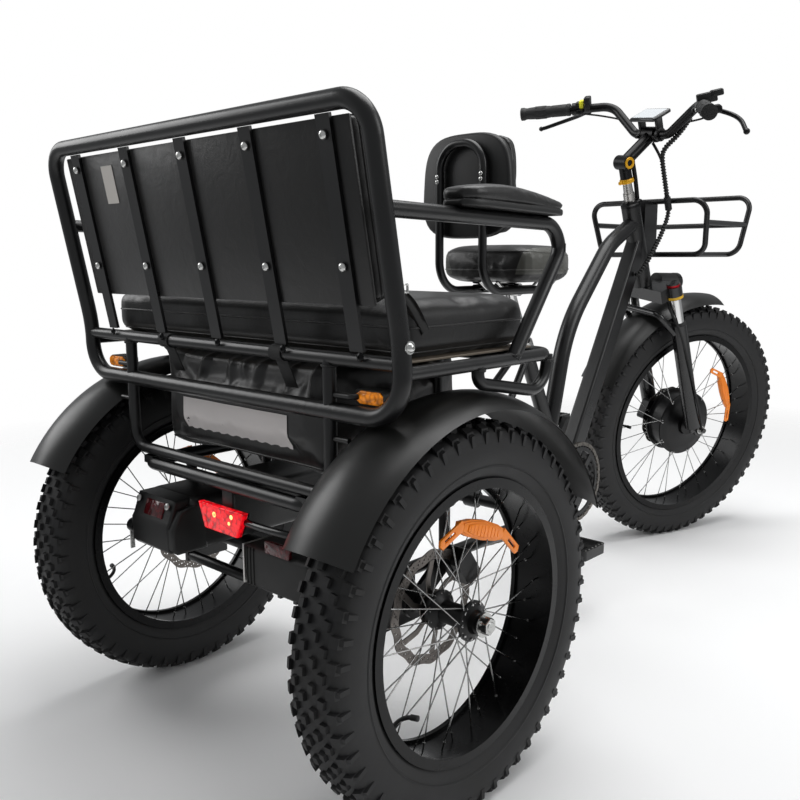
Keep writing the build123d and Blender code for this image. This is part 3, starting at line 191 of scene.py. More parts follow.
# The wheels: fat 20 and 24 inch tyres on wide double-wall rims. The tyres are moulded
# natural rubber, matt and a little grey with dust, with two rows of centre knobs and
# staggered shoulder lugs that run down on to the sidewall.
tyre_rubber = bpy.data.materials.new("moulded_tyre_rubber")
tree = emptied(tyre_rubber)
place = add(tree, "ShaderNodeTexCoord").outputs["Object"]
dust = add(tree, "ShaderNodeTexNoise", [("Vector", place), ("Scale", 14.0), ("Detail", 6.0),
                                        ("Roughness", 0.65)])
skin = add(tree, "ShaderNodeTexNoise", [("Vector", place), ("Scale", 700.0), ("Detail", 4.0)])
shade = add(tree, "ShaderNodeMapRange", [("Value", dust.outputs["Fac"]), ("From Min", 0.42),
                                         ("From Max", 0.75)])
tone = add(tree, "ShaderNodeMix", [(0, shade.outputs[0]), (6, linear("#0b0b0d")), (7, linear("#181716"))],
           data_type="RGBA")
gloss = add(tree, "ShaderNodeMapRange", [("Value", dust.outputs["Fac"]), ("To Min", 0.5), ("To Max", 0.78)])
bump = add(tree, "ShaderNodeBump", [("Height", skin.outputs["Fac"]), ("Strength", 0.25),
                                    ("Distance", 0.0005)])
shader = add(tree, "ShaderNodeBsdfPrincipled", [("Base Color", tone.outputs[2]),
                                                ("Roughness", gloss.outputs[0]),
                                                ("Normal", bump.outputs[0]), ("IOR", 1.52)])
add(tree, "ShaderNodeOutputMaterial", [("Surface", shader.outputs[0])])
rim_anodising = coating("black_anodised_aluminium", "#0a0a0b", 0.27, 0.7, 0.05, metallic=0.55)

head_angle, parked_angle, head_top = 22, -20.6, (0, 1133.61, 934)
front_axle, track_half, rear_axle_z = (17.59, 1425.04, 337.64), 351.5, 291
front_crown, front_rim_edge, rear_crown, rear_rim_edge = 340, 259.5, 291, 209
tyre_half, lug_pitch, lug_stagger, lug_height = 48.5, 33, 8, 5.5
# Rows of lugs: corners (across, round), stagger, feet and tops below the crown, and how far the top shrinks.
lug_rows = (([(3, -6), (14, -8), (15, 6), (4, 7)], 1, [12] * 4, [0.2] * 4, 0.82),
            ([(19, -7), (29, -8), (30, 5), (19, 7)], -1, [12] * 4, [1.2, 2.8, 2.8, 1.2], 0.82),
            ([(33, -8), (44, -9), (44, 6), (33, 8)], 1, [17] * 4, [3.5, 9, 9, 3.5], 0.9),
            ([(40, -5), (tyre_half, -4), (tyre_half, 3), (40, 4)], 1,
             [33, 30, 30, 33], [10, 14, 14, 10], 0.95))


def about(axis, degrees):
    """A turn about an axis."""
    return Matrix.Rotation(radians(degrees), 4, axis)


def placed(x, y, z, turn=None):
    """A place given in millimetres from the floor below the rear axle, turned there."""
    place = Matrix.Translation(at(x, y, z))
    return place @ turn if turn is not None else place


def moved(mesh, *places):
    """A mesh moved by one matrix after another."""
    for place in places:
        mesh.transform(place)
    return mesh


def written(work):
    """What was built in a bmesh, as a mesh."""
    mesh = bpy.data.meshes.new("shape")
    work.to_mesh(mesh)
    work.free()
    return mesh


def joined(meshes):
    """Several meshes as one."""
    work = bmesh.new()
    for mesh in meshes:
        work.from_mesh(mesh)
    return written(work)


def settle(name, shape, material, body, slot, *stands_for, sharp=None):
    """Makes a mesh, or a list of them, one piece that faces outwards and rides on a body.
    It may replace CAD nodes, and where an angle is given, only edges sharper than that show."""
    mesh = joined(shape) if isinstance(shape, list) else shape
    work = bmesh.new()
    work.from_mesh(mesh)
    bmesh.ops.remove_doubles(work, verts=work.verts, dist=0.000002)
    bmesh.ops.recalc_face_normals(work, faces=work.faces)
    if sharp:
        work.normal_update()
        for face in work.faces:
            face.smooth = True
        for edge in work.edges:
            edge.smooth = edge.calc_face_angle(0) < radians(sharp)
    work.to_mesh(mesh)
    work.free()
    mesh.materials.clear()
    mesh.materials.append(material)
    piece = linked(name, mesh)
    if body:
        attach(piece, body)
    if stands_for:
        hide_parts(*stands_for)
    return piece


def turned(outline, sides, closed=True):
    """The mesh of an outline of (x, radius) in millimetres, turned about the X axis."""
    work = bmesh.new()
    corners = [work.verts.new((x / 1000, 0, r / 1000)) for x, r in outline]
    others = corners[1:] + corners[:1] if closed else corners[1:]
    edges = [work.edges.new(pair) for pair in zip(corners, others)]
    bmesh.ops.spin(work, geom=corners + edges, cent=(0, 0, 0), axis=(1, 0, 0), angle=2 * pi, steps=sides,
                   use_merge=True)
    bmesh.ops.remove_doubles(work, verts=work.verts, dist=0.000002)
    return written(work)


def lofted(rings):
    """The mesh through closed rings of points, with flat ends."""
    work = bmesh.new()
    lines = [[work.verts.new(point) for point in ring] for ring in rings]
    for one, other in zip(lines, lines[1:]):
        for i in range(len(one)):
            j = (i + 1) % len(one)
            work.faces.new((one[i], one[j], other[j], other[i]))
    work.faces.new(lines[0][::-1])
    work.faces.new(lines[-1])
    return written(work)


def evaluated(holder):
    """The mesh of an object with its modifiers applied."""
    bpy.context.view_layer.update()
    return bpy.data.meshes.new_from_object(holder.evaluated_get(bpy.context.evaluated_depsgraph_get()))


def repeating_tree(name, around):
    """Geometry Nodes that repeat a shape round the X axis, or along a straight row."""
    tree = bpy.data.node_groups.new(name, "GeometryNodeTree")
    inputs = (("Shape", "Geometry"), ("Count", "Int"), ("Step", "Float" if around else "Vector"),
              ("Finish", "Material"))
    sockets = [tree.interface.new_socket(title, in_out="INPUT", socket_type="NodeSocket" + kind)
               for title, kind in inputs]
    tree.interface.new_socket("Shape", in_out="OUTPUT", socket_type="NodeSocketGeometry")
    given = add(tree, "NodeGroupInput")
    points = add(tree, "GeometryNodeMeshLine", [("Count", given.outputs["Count"]),
                                                ("Offset", (0, 0, 0) if around else given.outputs["Step"])])
    copies = add(tree, "GeometryNodeInstanceOnPoints", [("Points", points.outputs[0]),
                                                        ("Instance", given.outputs["Shape"])])
    if around:
        index = add(tree, "GeometryNodeInputIndex")
        angle = add(tree, "ShaderNodeMath", [(0, index.outputs[0]), (1, given.outputs["Step"])],
                    operation="MULTIPLY")
        turn = add(tree, "ShaderNodeCombineXYZ", [("X", angle.outputs[0])])
        tree.links.new(turn.outputs[0], copies.inputs["Rotation"])
    real = add(tree, "GeometryNodeRealizeInstances", [("Geometry", copies.outputs[0])])
    coated = add(tree, "GeometryNodeSetMaterial", [("Geometry", real.outputs[0]),
                                                   ("Material", given.outputs["Finish"])])
    add(tree, "NodeGroupOutput", [("Shape", coated.outputs[0])])
    return tree, [socket.identifier for socket in sockets[1:]]


round_axle = repeating_tree("copies_round_an_axle", True)
in_a_row = repeating_tree("copies_in_a_row", False)


def repeated(kit, mesh, count, step, material):
    """The mesh of count copies of a shape, made by one of the two repeating trees."""
    tree, identifiers = kit
    holder = linked("holder", mesh)
    modifier = holder.modifiers.new("repeat", "NODES")
    modifier.node_group = tree
    for identifier, value in zip(identifiers, (count, step, material)):
        modifier[identifier] = value
    result = evaluated(holder)
    holder.modifiers.remove(modifier)
    bpy.data.objects.remove(holder)
    return result


def tyre_shape(crown, rim):
    """The outline of a tyre carcass as (x, radius) from bead to bead, with its flat inside."""
    side = [(-34, rim - 6), (-36, rim + 1), (-42, rim + 9), (-47, rim + 22),
            (-tyre_half, rim + (crown - rim) * 0.48),
            (-47.2, rim + (crown - rim) * 0.66), (-44, crown - 17), (-38, crown - 11), (-26, crown - 7.3),
            (-13, crown - 5.9)]
    mirror = [(-x, r) for x, r in reversed(side)]
    return side + [(0, crown - lug_height)] + mirror + [(30, rim - 4), (-30, rim - 4)]


def lug(corners, feet, tops, shrink):
    """A tread block over its corners, from the radius of each foot to that of each top."""
    middle = sum((Vector(corner) for corner in corners), Vector((0, 0))) / len(corners)
    rings = []
    for radii, scale in ((feet, 1.0), (tops, shrink)):
        spread = [middle + (Vector(corner) - middle) * scale for corner in corners]
        rings.append([Vector((*spot, radius)) / 1000 for spot, radius in zip(spread, radii)])
    return lofted(rings)


steering_turn = about("X", head_angle) @ about("Z", parked_angle)
steering_place = placed(*head_top, steering_turn)
wheels = (("front", "front_wheel", placed(*front_axle, steering_turn), front_crown, front_rim_edge),
          ("left", "rear_wheel_left", placed(-track_half, 0, rear_axle_z), rear_crown, rear_rim_edge),
          ("right", "rear_wheel_right", placed(track_half, 0, rear_axle_z), rear_crown, rear_rim_edge))
for name, body, place, crown, rim in wheels:
    pitches = round(2 * pi * crown / lug_pitch)
    blocks = []
    for side in (-1, 1):
        for corners, way, feet, tops, shrink in lug_rows:
            spots = [(side * x, side * way * lug_stagger + y) for x, y in corners]
            blocks.append(lug(spots, [crown - foot for foot in feet], [crown - top for top in tops], shrink))
    tread = repeated(round_axle, joined(blocks), pitches, 2 * pi / pitches, tyre_rubber)
    bead_ring = turned([(tyre_half - 3.2, rim + 17), (tyre_half - 1.2, rim + 18.5),
                        (tyre_half - 1.7, rim + 20.5),
                        (tyre_half - 4, rim + 20)], 120)
    mirror_ring = moved(bead_ring.copy(), Matrix.Diagonal((-1, 1, 1, 1)))
    tyre = moved(joined([turned(tyre_shape(crown, rim), 144), tread, bead_ring, mirror_ring]), place)
    settle(f"{name}_tyre_tread", tyre, tyre_rubber, body, "tyre_black", f"{name}_tyre", sharp=38)
    dress(rim_anodising, f"{name}_rim")

# The hubs, spokes and brake discs: 36 stainless spokes laced across, with brass nipples
# plated to match, cast black hub shells, and wavy discs cut from ground stainless sheet
# with rows of cooling holes. The axle ends carry plated nuts.
spoke_steel = coating("drawn_stainless_steel", "#a3a3a2", 0.24, 0.6, 0.06, metallic=1.0, drift=0.12)
nut_steel = coating("zinc_plated_steel", "#b8b8b6", 0.3, 0.5, 0.08, metallic=1.0)
hub_alloy = coating("black_cast_hub_alloy", "#0c0c0d", 0.34, 0.9, 0.15, metallic=0.4)
rotor_steel = coating("ground_stainless_disc", "#77726e", 0.3, 0.35, 0.35, metallic=1.0, drift=0.15)
spoke_count, spoke_radius, nipple_radius = 36, 1.1, 2.3
rotor_outer, rotor_inner, wave_count, arm_count, carrier_outer = 89.5, 74.0, 12, 6, 27
hole_count, hole_rows = 108, ((83.5, 1.5), (80.0, 1.8), (76.7, 1.5))
rotor_x = {"front": -47, "left": 46, "right": -46}
arm_line = [(72.4, -5), (44, -13), (24, -11), (24, -3), (44, -4), (72.4, 5)]
motor_shell = [(-45.5, 7.2), (-45.5, 22), (-40, 24), (-34, 34), (-31, 40), (-29, 80), (-27.5, 84), (-27, 91),
               (-24, 92), (-23, 84), (-21, 82.5), (21, 82.5), (23, 84), (24, 92), (27, 91), (27.5, 84),
               (29, 80),
               (31, 66), (32, 40), (35, 30), (45.5, 28), (45.5, 7.2)]
rear_shell = [(-63, 8.5), (-63, 14), (-46, 15.5), (-44, 22), (-36, 23), (-33, 26), (-32, 30), (-28, 30),
              (-27, 25),
              (-20, 17), (20, 17), (27, 25), (28, 30), (32, 30), (33, 26), (36, 18), (44, 16), (46, 12.6),
              (62, 12.4), (62, 0.5)]


def rolled(points, radius, closed=False, sides=4, steps=8, order=4):
    """The mesh of a round bar along the smooth line that a row of points guides, in metres."""
    line = bpy.data.curves.new("line", "CURVE")
    line.dimensions = "3D"
    line.bevel_depth = radius
    line.bevel_resolution = sides
    line.resolution_u = steps
    line.use_fill_caps = not closed
    spline = line.splines.new("NURBS")
    spline.points.add(len(points) - 1)
    for point, place in zip(spline.points, points):
        point.co = (*place, 1)
    spline.order_u = min(order, len(points))
    spline.use_endpoint_u = not closed
    spline.use_cyclic_u = closed
    holder = bpy.data.objects.new("line", line)
    mesh = bpy.data.meshes.new_from_object(holder)
    bpy.data.objects.remove(holder)
    for polygon in mesh.polygons:
        polygon.use_smooth = True
    return mesh


def slab(size, bevel=0.0, segments=2, place=None):
    """The mesh of a block of (x, y, z) millimetres with rounded edges, moved by a matrix."""
    work = bmesh.new()
    bmesh.ops.create_cube(work, size=1, matrix=Matrix.Diagonal([length / 1000 for length in size] + [1]))
    if bevel:
        bmesh.ops.bevel(work, geom=work.edges, offset=bevel / 1000, segments=segments, profile=0.5,
                        affect="EDGES")
    return moved(written(work), *([] if place is None else [place]))


def cut_plate(outlines, thickness, edge=0.0):
    """The mesh of a plate square to X, cut along closed outlines of (y, z) and holes, with round edges."""
    plate = bpy.data.curves.new("plate", "CURVE")
    plate.dimensions = "2D"
    plate.fill_mode = "BOTH"
    plate.extrude = (thickness / 2 - edge) / 1000
    plate.bevel_depth = edge / 1000
    plate.bevel_resolution = 2
    plate.offset = -edge / 1000
    for outline in outlines:
        spline = plate.splines.new("POLY")
        spline.points.add(len(outline) - 1)
        for point, (y, z) in zip(spline.points, outline):
            point.co = (y / 1000, z / 1000, 0, 1)
        spline.use_cyclic_u = True
    holder = bpy.data.objects.new("plate", plate)
    mesh = bpy.data.meshes.new_from_object(holder)
    bpy.data.objects.remove(holder)
    return moved(mesh, Matrix(((0, 0, 1, 0), (1, 0, 0, 0), (0, 1, 0, 0), (0, 0, 0, 1))))


def circle(radius, count, y=0.0, z=0.0):
    """Points round a circle in the plate's plane."""
    return [(y + radius * cos(2 * pi * i / count), z + radius * sin(2 * pi * i / count))
            for i in range(count)]


def tooth_line(radius, teeth):
    """The outline of a sprocket in the plate's plane."""
    corners = [(radius - depth, 2 * pi * (i + share) / teeth) for i in range(teeth)
               for share, depth in ((-0.32, 4), (-0.14, 0.3), (0, 0), (0.14, 0.3), (0.32, 4))]
    return [(reach * cos(angle), reach * sin(angle)) for reach, angle in corners]


def laced(flange_radius, flange_x, rim_seat, cross_angle):
    """The four spokes that repeat round a wheel, each with its nipple and its head on the flange."""
    work = []
    for kind in range(4):
        side = 1 if kind % 2 else -1
        lean = 1 if kind < 2 else -1
        offset = kind * 2 * pi / spoke_count
        cross = offset + lean * radians(cross_angle)
        foot = Vector((side * (flange_x + lean * 1.6), -flange_radius * sin(cross),
                       flange_radius * cos(cross)))
        tip = Vector((side * 4, -rim_seat * sin(offset), rim_seat * cos(offset)))
        head = foot + Vector((-side * lean * 5, 0, 0))
        bend = (head, head / 3 + foot * 2 / 3, foot, foot.lerp(tip, 0.03), foot.lerp(tip, 0.5), tip)
        work += [rolled([point / 1000 for point in bend], spoke_radius / 1000, sides=1, steps=3),
                 rolled([foot.lerp(tip, 0.93) / 1000, tip / 1000], nipple_radius / 1000, sides=2, steps=1),
                 slab((2.2, 4.6, 4.6), 1, 1, Matrix.Translation((foot + Vector((side * 2.4, 0, 0))) / 1000))]
    return work


for name, body, place, crown, rim in wheels:
    work = laced(88, 27, rim - 9, 12) if name == "front" else laced(26, 30, rim - 9, 38)
    spokes = repeated(round_axle, joined(work), spoke_count // 4, 8 * pi / spoke_count, spoke_steel)
    settle(f"{name}_spokes", moved(spokes, place), spoke_steel, body, "hub_black")
    out = -1 if name == "left" else 1
    shaft_end = -319 if name == "right" else -231
    shell = [(out * x, r) for x, r in [(shaft_end, 0.5), (shaft_end, 8.5)] + rear_shell]
    hub = [turned(motor_shell if name == "front" else shell, 72)]
    if name == "right":
        hub.append(moved(cut_plate([tooth_line(40, 20), circle(8.6, 24)], 3),
                         Matrix.Translation((-0.3065, 0, 0))))
    settle(f"{name}_hub_shell", moved(joined(hub), place), hub_alloy, body, "hub_black", f"{name}_hub",
           sharp=30)


def wavy(radius, depth):
    """The wavy edge of a brake disc, between its radius and twice the depth inside it."""
    waves = [(radius - depth + depth * cos(wave_count * a), a)
             for a in [2 * pi * i / 144 for i in range(144)]]
    return [(reach * cos(a), reach * sin(a)) for reach, a in waves]


def hexagon_nut(across, height, bore):
    """The mesh of a nut along X from zero to its height, with a round collar under it."""
    nut = turned([(0, bore), (0, across * 0.56), (height, across * 0.5), (height, bore)], 6)
    collar = turned([(-1.6, bore), (-1.6, across * 0.72), (0, across * 0.72), (0, bore)], 24)
    return joined([nut, collar])


rotor_lines = [wavy(rotor_outer, 1.8), wavy(rotor_inner, 1.4)]
for i in range(hole_count):
    radius, hole = hole_rows[i % 3]
    angle = 2 * pi * i / hole_count
    rotor_lines.append(circle(hole, 8, radius * cos(angle), radius * sin(angle)))
rotor_bolt = moved(turned([(1.0, 0), (1.0, 3.6), (3.4, 3.2), (3.8, 0)], 12, closed=False),
                   Matrix.Translation((0, 0, 0.022)))
arm = lofted([[Vector((x, y, z)) / 1000 for z, y in arm_line] for x in (-1, 1)])
axle_cap = [(0, 0.4), (0, 8), (9.6, 8), (11, 6.5), (11, 0.4)]
for name, body, place, crown, rim in wheels:
    carrier = turned([(-1, 16.5), (-1, carrier_outer), (1, carrier_outer), (1, 16.5)], 48)
    bolts = moved(repeated(round_axle, rotor_bolt, arm_count, 2 * pi / arm_count, rotor_steel),
                  Matrix.Diagonal((-1 if rotor_x[name] < 0 else 1, 1, 1, 1)))
    arms = repeated(round_axle, arm, arm_count, 2 * pi / arm_count, rotor_steel)
    rotor = moved(joined([cut_plate(rotor_lines, 2.0), arms, carrier, bolts]),
                  place @ Matrix.Translation((rotor_x[name] / 1000, 0, 0)))
    settle(f"{name}_brake_disc", rotor, rotor_steel, body, "rotor_steel", f"{name}_rotor")
    if name == "front":
        nut, nut_x, ends, nut_body = hexagon_nut(17, 9, 6), 90.5, (-1, 1), "steering"
    else:
        nut, nut_x, nut_body = joined([hexagon_nut(25, 10, 8), turned(axle_cap, 24)]), 53.5, body
        ends = (-1,) if name == "left" else (1,)
    nuts = [moved(nut.copy(), Matrix.Translation((nut_x / 1000, 0, 0)), Matrix.Diagonal((end, 1, 1, 1)))
            for end in ends]
    settle(f"{name}_axle_nut", moved(joined(nuts), place), nut_steel, nut_body,
           "fork_metal" if name == "front" else "rotor_steel")

# What the wheels carry between their spokes: a black bent valve stem with its cap, and an
# orange acrylic reflector, a faceted almond with a slotted arm screwed on at each end.
reflector_orange = coating("orange_moulded_acrylic", "#ff8a0c", 0.34, 1.6, 0.2, drift=0.12, coat=0.15)
reflector_places = {"front": (-83, 178), "left": (-35, 128), "right": (-19, 128)}
almond = [(-58, -7), (-58, 7), (-35, 13), (0, 16), (35, 13), (58, 7), (58, -7), (35, -12), (0, -14),
          (-35, -12)]
arm_outline = [(-6, -8), (46, -7), (50, 0), (46, 8), (-6, 8)]
arm_slot = [(14, -2.4), (38, -2.4), (38, 2.4), (14, 2.4)]
# The valve stem and its cap: how far out and how far inside the rim each point lies, and the radius.
valve_bends = ((((0, 16), (0, 36), (7, 47), (22, 51)), 0.0032), (((20, 50.6), (31, 53)), 0.0043))
for name, body, place, crown, rim in wheels:
    angle, radius = reflector_places[name]
    out = -1 if name == "left" else 1
    lens_parts = [cut_plate([[(u * share, radius + v * share) for u, v in almond]], depth, 1.2)
                  for share, depth in ((1.0, 9), (0.86, 13), (0.68, 16))]
    lens_parts += [slab((17, 1, 18 - abs(i) * 2), place=Matrix.Translation((0, i * 0.0085, radius / 1000)))
                   for i in range(-4, 5)]
    lens_parts += [moved(cut_plate([arm_outline, arm_slot], 4, 0.8),
                         Matrix.Translation((0.004, side * 0.055, radius / 1000)) @ about("X", arm_angle))
                   for side, arm_angle in ((-1, -140), (1, -26))]
    bar = moved(joined(lens_parts), place @ Matrix.Translation((out * 0.012, 0, 0)) @ about("X", angle))
    settle(f"{name}_spoke_reflector", bar, reflector_orange, body, "lens_orange", sharp=30)
    stem = joined([rolled([Vector((out * x, 0, rim - depth)) / 1000 for x, depth in bend], thick)
                   for bend, thick in valve_bends])
    settle(f"{name}_valve_stem", moved(stem, place @ about("X", angle + 150)), tyre_rubber, body,
           "rubber_black")

# The bench frame's fittings: pan-head screws through the flat slats into the back panel,
# dome bolts where the arm rails meet the side rails, weld beads round the tube joints,
# and a thin varnished plywood board on the rails under the cushion.
bright_screw = coating("bright_zinc_plated_screw", "#d6d6d4", 0.22, 0.5, 0.1, metallic=1.0, drift=0.08)
black_bolt = coating("black_oxide_bolt", "#131314", 0.26, 0.5, 0.1, metallic=0.8)
weld_bead = coating("black_powder_coat_on_weld", "#0d0d0e", 0.48, 3.0, 0.6, drift=0.12)
hoop_y, bend_z, lean_run, lean_rise = -150, 690, 56, 300
back_lean = atan2(lean_run, lean_rise)
slat_count, slat_pitch, screw_rows = 5, 0.153, (953, 795)
screw_line = [(0, 0), (0, 6.2), (1.2, 6.0), (2.6, 4.6), (3.3, 2.6), (3.4, 1.9), (2.2, 1.6), (2.2, 0)]
dome_line = [(0, 0), (0, 8.5), (1.5, 8.5), (1.6, 6.4), (4.6, 5.2), (6.2, 3.0), (6.4, 1.8), (4.4, 1.6),
             (4.4, 0)]
# Tube joints that carry a weld on both sides of the bench: x, y, z, the bead's radius and the tube's turn.
welds = ((385, -182, 863, 10.6, "Z"), (385, 84, 668, 11, "Y"), (252, -150, 664, 9.8, "Y"),
         (385, 3, 653, 9.3, "Y"), (385, 172, 653, 9.3, "Y"), (245, -54, 340, 9.8, "Y"))
bead_drops, drop_radius = 26, 0.0023
board_size, board_centre = (738, 270, 3.4), (0, 18.5, 673.6)


def back_point(x, z, forward=0.0):
    """A point on the leaning middle plane of the back hoop, moved forward square to it, in millimetres."""
    fall = max(0, z - bend_z) * lean_run / lean_rise
    return at(x, hoop_y - fall + forward * cos(back_lean), z + forward * sin(back_lean))


def on_back(x, z, forward):
    """A place on the leaning back, turned with it."""
    return Matrix.Translation(back_point(x, z, forward)) @ Matrix.Rotation(back_lean, 4, "X")


head = moved(turned(screw_line, 20, closed=False), about("Z", -90))
row = repeated(in_a_row, head, slat_count, (slat_pitch, 0, 0), bright_screw)
settle("back_slat_end_bolts", moved(row.copy(), placed(-288, -162, 681)), black_bolt, "frame", "rotor_steel",
       sharp=40)
screws = [moved(row.copy(), on_back(-306, z, -5.0)) for z in screw_rows]
settle("back_slat_screws", screws, bright_screw, "frame", "rotor_steel", sharp=40)
bolts = [moved(turned(dome_line, 24, closed=False), Matrix.Diagonal((side, 1, 1, 1)),
               placed(side * 397.4, -150, 697))
         for side in (-1, 1)]
settle("bench_side_bolts", bolts, bright_screw, "frame", "rotor_steel", sharp=40)

ripple = bmesh.new()
bmesh.ops.create_uvsphere(ripple, u_segments=8, v_segments=5, radius=drop_radius)
drop = written(ripple)
beads = []
for x, y, z, radius, axis in welds:
    bead = moved(drop.copy(), Matrix.Translation((0, 0, radius / 1000)))
    for side in (-1, 1):
        ring = repeated(round_axle, bead, bead_drops, 2 * pi / bead_drops, weld_bead)
        beads.append(moved(ring, placed(side * x, y, z, about(axis, 90))))
settle("bench_weld_beads", beads, weld_bead, "frame", "frame_black", sharp=180)

plywood = bpy.data.materials.new("varnished_birch_plywood")
tree = emptied(plywood)
place = add(tree, "ShaderNodeTexCoord").outputs["Object"]
plies = add(tree, "ShaderNodeTexWave", [("Vector", place), ("Scale", 210.0), ("Distortion", 0.6)],
            bands_direction="Z")
tone = add(tree, "ShaderNodeMix", [(0, plies.outputs["Fac"]), (6, linear("#8f8474")), (7, linear("#5b5146"))],
           data_type="RGBA")
shader = add(tree, "ShaderNodeBsdfPrincipled", [("Base Color", tone.outputs[2]), ("Roughness", 0.5)])
add(tree, "ShaderNodeOutputMaterial", [("Surface", shader.outputs[0])])
settle("cushion_board", slab(board_size, 1.0, place=placed(*board_centre)), plywood, "frame", "case_alloy")

# The upholstery of the bench: foam on the board, covered in black leathercloth, a
# PVC-coated fabric with an embossed grain of about a millimetre. Panels are sewn with a
# welted seam round the top edge, and the skin pulls into soft folds at the corners.
leathercloth = bpy.data.materials.new("black_embossed_leathercloth")
tree = emptied(leathercloth)
place = add(tree, "ShaderNodeTexCoord").outputs["Object"]
pebble = add(tree, "ShaderNodeTexVoronoi", [("Vector", place), ("Scale", 620.0)], feature="DISTANCE_TO_EDGE")
crease = add(tree, "ShaderNodeTexNoise", [("Vector", place), ("Scale", 42.0), ("Detail", 5.0),
                                          ("Distortion", 0.8)])
wide = add(tree, "ShaderNodeTexNoise", [("Vector", place), ("Scale", 6.0), ("Detail", 3.0)])
tone = add(tree, "ShaderNodeMix", [(0, wide.outputs["Fac"]), (6, linear("#0a0909")), (7, linear("#151413"))],
           data_type="RGBA")
gloss = add(tree, "ShaderNodeMapRange", [("Value", wide.outputs["Fac"]), ("From Min", 0.3), ("From Max", 0.7),
                                         ("To Min", 0.3), ("To Max", 0.42)])
fine = add(tree, "ShaderNodeBump", [("Height", pebble.outputs["Distance"]), ("Strength", 0.22),
                                    ("Distance", 0.0006)])
soft = add(tree, "ShaderNodeBump", [("Height", crease.outputs["Fac"]), ("Strength", 0.3), ("Distance", 0.002),
                                    ("Normal", fine.outputs[0])])
shader = add(tree, "ShaderNodeBsdfPrincipled", [("Base Color", tone.outputs[2]),
                                                ("Roughness", gloss.outputs[0]),
                                                ("Normal", soft.outputs[0]), ("Sheen Weight", 0.15),
                                                ("Sheen Roughness", 0.4)])
add(tree, "ShaderNodeOutputMaterial", [("Surface", shader.outputs[0])])
cushion_size, cushion_centre = (736, 270, 69), (0, 18.5, 711)
panel_size, panel_z, panel_forward = (694, 36, 234), 858.7, 27
swell, swell_frames, air_pressure = 0.007, 20, 4


def pillow(size, corner, crown, place):
    """A closed soft block of (x, y, z) millimetres with round corners, domed on top by the crown."""
    half = [length / 2 for length in size]
    work = bmesh.new()
    bmesh.ops.create_cube(work, size=2)
    for level in range(4):
        bmesh.ops.subdivide_edges(work, edges=work.edges, cuts=1, use_grid_fill=True)
    for vert in work.verts:
        x, y, z = (sin(pi / 2 * value) for value in vert.co)
        spot = [x * half[0], y * half[1], z * half[2]]
        inner = [min(max(value, corner - limit), limit - corner) for value, limit in zip(spot, half)]
        away = Vector([value - core for value, core in zip(spot, inner)])
        if away.length > corner:
            away *= corner / away.length
        spot = Vector(inner) + away
        if z > -0.99:
            spot.z += crown * (1 - x * x) * (1 - y * y)
        vert.co = spot / 1000
    return moved(written(work), place)


def stuffed(mesh, cap, voxel=0.006):
    """The mesh of a cover swollen by its filling in a short cloth simulation, no further than the cap."""
    holder = linked("holder", mesh)
    remesh = holder.modifiers.new("remesh", "REMESH")
    remesh.mode = "VOXEL"
    remesh.voxel_size = voxel
    base = evaluated(holder)
    holder.modifiers.clear()
    holder.data = base
    rest = [vert.co.copy() for vert in base.vertices]
    cloth = holder.modifiers.new("cloth", "CLOTH")
    cloth.settings.quality = 5
    cloth.settings.use_pressure = True
    cloth.settings.uniform_pressure_force = air_pressure
    cloth.settings.effector_weights.gravity = 0
    cloth.point_cache.frame_start = 1
    cloth.point_cache.frame_end = swell_frames
    for step in range(1, swell_frames + 1):
        scene.frame_set(step)
    swollen = evaluated(holder)
    holder.modifiers.clear()
    for vert, start in zip(swollen.vertices, rest):
        move = vert.co - start
        if move.length > cap:
            vert.co = start + move * (cap / move.length)
    scene.frame_set(1)
    holder.data = swollen
    surface = holder.modifiers.new("smooth", "SUBSURF")
    surface.levels = surface.render_levels = 1
    result = evaluated(holder)
    holder.modifiers.clear()
    bpy.data.objects.remove(holder)
    for polygon in result.polygons:
        polygon.use_smooth = True
    return result


def welt(mesh, point, normal, radius):
    """The mesh of a thin sewn welt where a plane cuts a cushion's skin."""
    work = bmesh.new()
    work.from_mesh(mesh)
    cut = bmesh.ops.bisect_plane(work, geom=work.verts[:] + work.edges[:] + work.faces[:], plane_co=point,
                                 plane_no=normal, clear_inner=True, clear_outer=True)
    links = {}
    for edge in cut["geom_cut"]:
        if isinstance(edge, bmesh.types.BMEdge):
            one, other = edge.verts
            links.setdefault(one, []).append(other)
            links.setdefault(other, []).append(one)
    loops = []
    while links:
        start = next(iter(links))
        loop = [start]
        here = start
        while links.get(here):
            step = links[here].pop()
            if here in links.get(step, []):
                links[step].remove(here)
            if step is start:
                break
            loop.append(step)
            here = step
        links = {vert: others for vert, others in links.items() if others}
        loops.append([vert.co.copy() for vert in loop])
    work.free()
    return joined([rolled(loop[::2], radius, closed=True, sides=2, steps=1, order=3)
                   for loop in loops if len(loop) > 30])


def cover(name, mesh, seams, material, node, slot):
    """Makes a stuffed mesh and its welts one upholstered piece that stands for a CAD node."""
    parts = [mesh] + [welt(mesh, point, normal, radius) for point, normal, radius in seams]
    settle(name, parts, material, "frame", slot, node, sharp=180)


def sheet(rows):
    """A bmesh of the faces between rows of points."""
    work = bmesh.new()
    lines = [[work.verts.new(point) for point in row] for row in rows]
    for low, high in zip(lines, lines[1:]):
        for j in range(len(low) - 1):
            work.faces.new((low[j], low[j + 1], high[j + 1], high[j]))
    return work


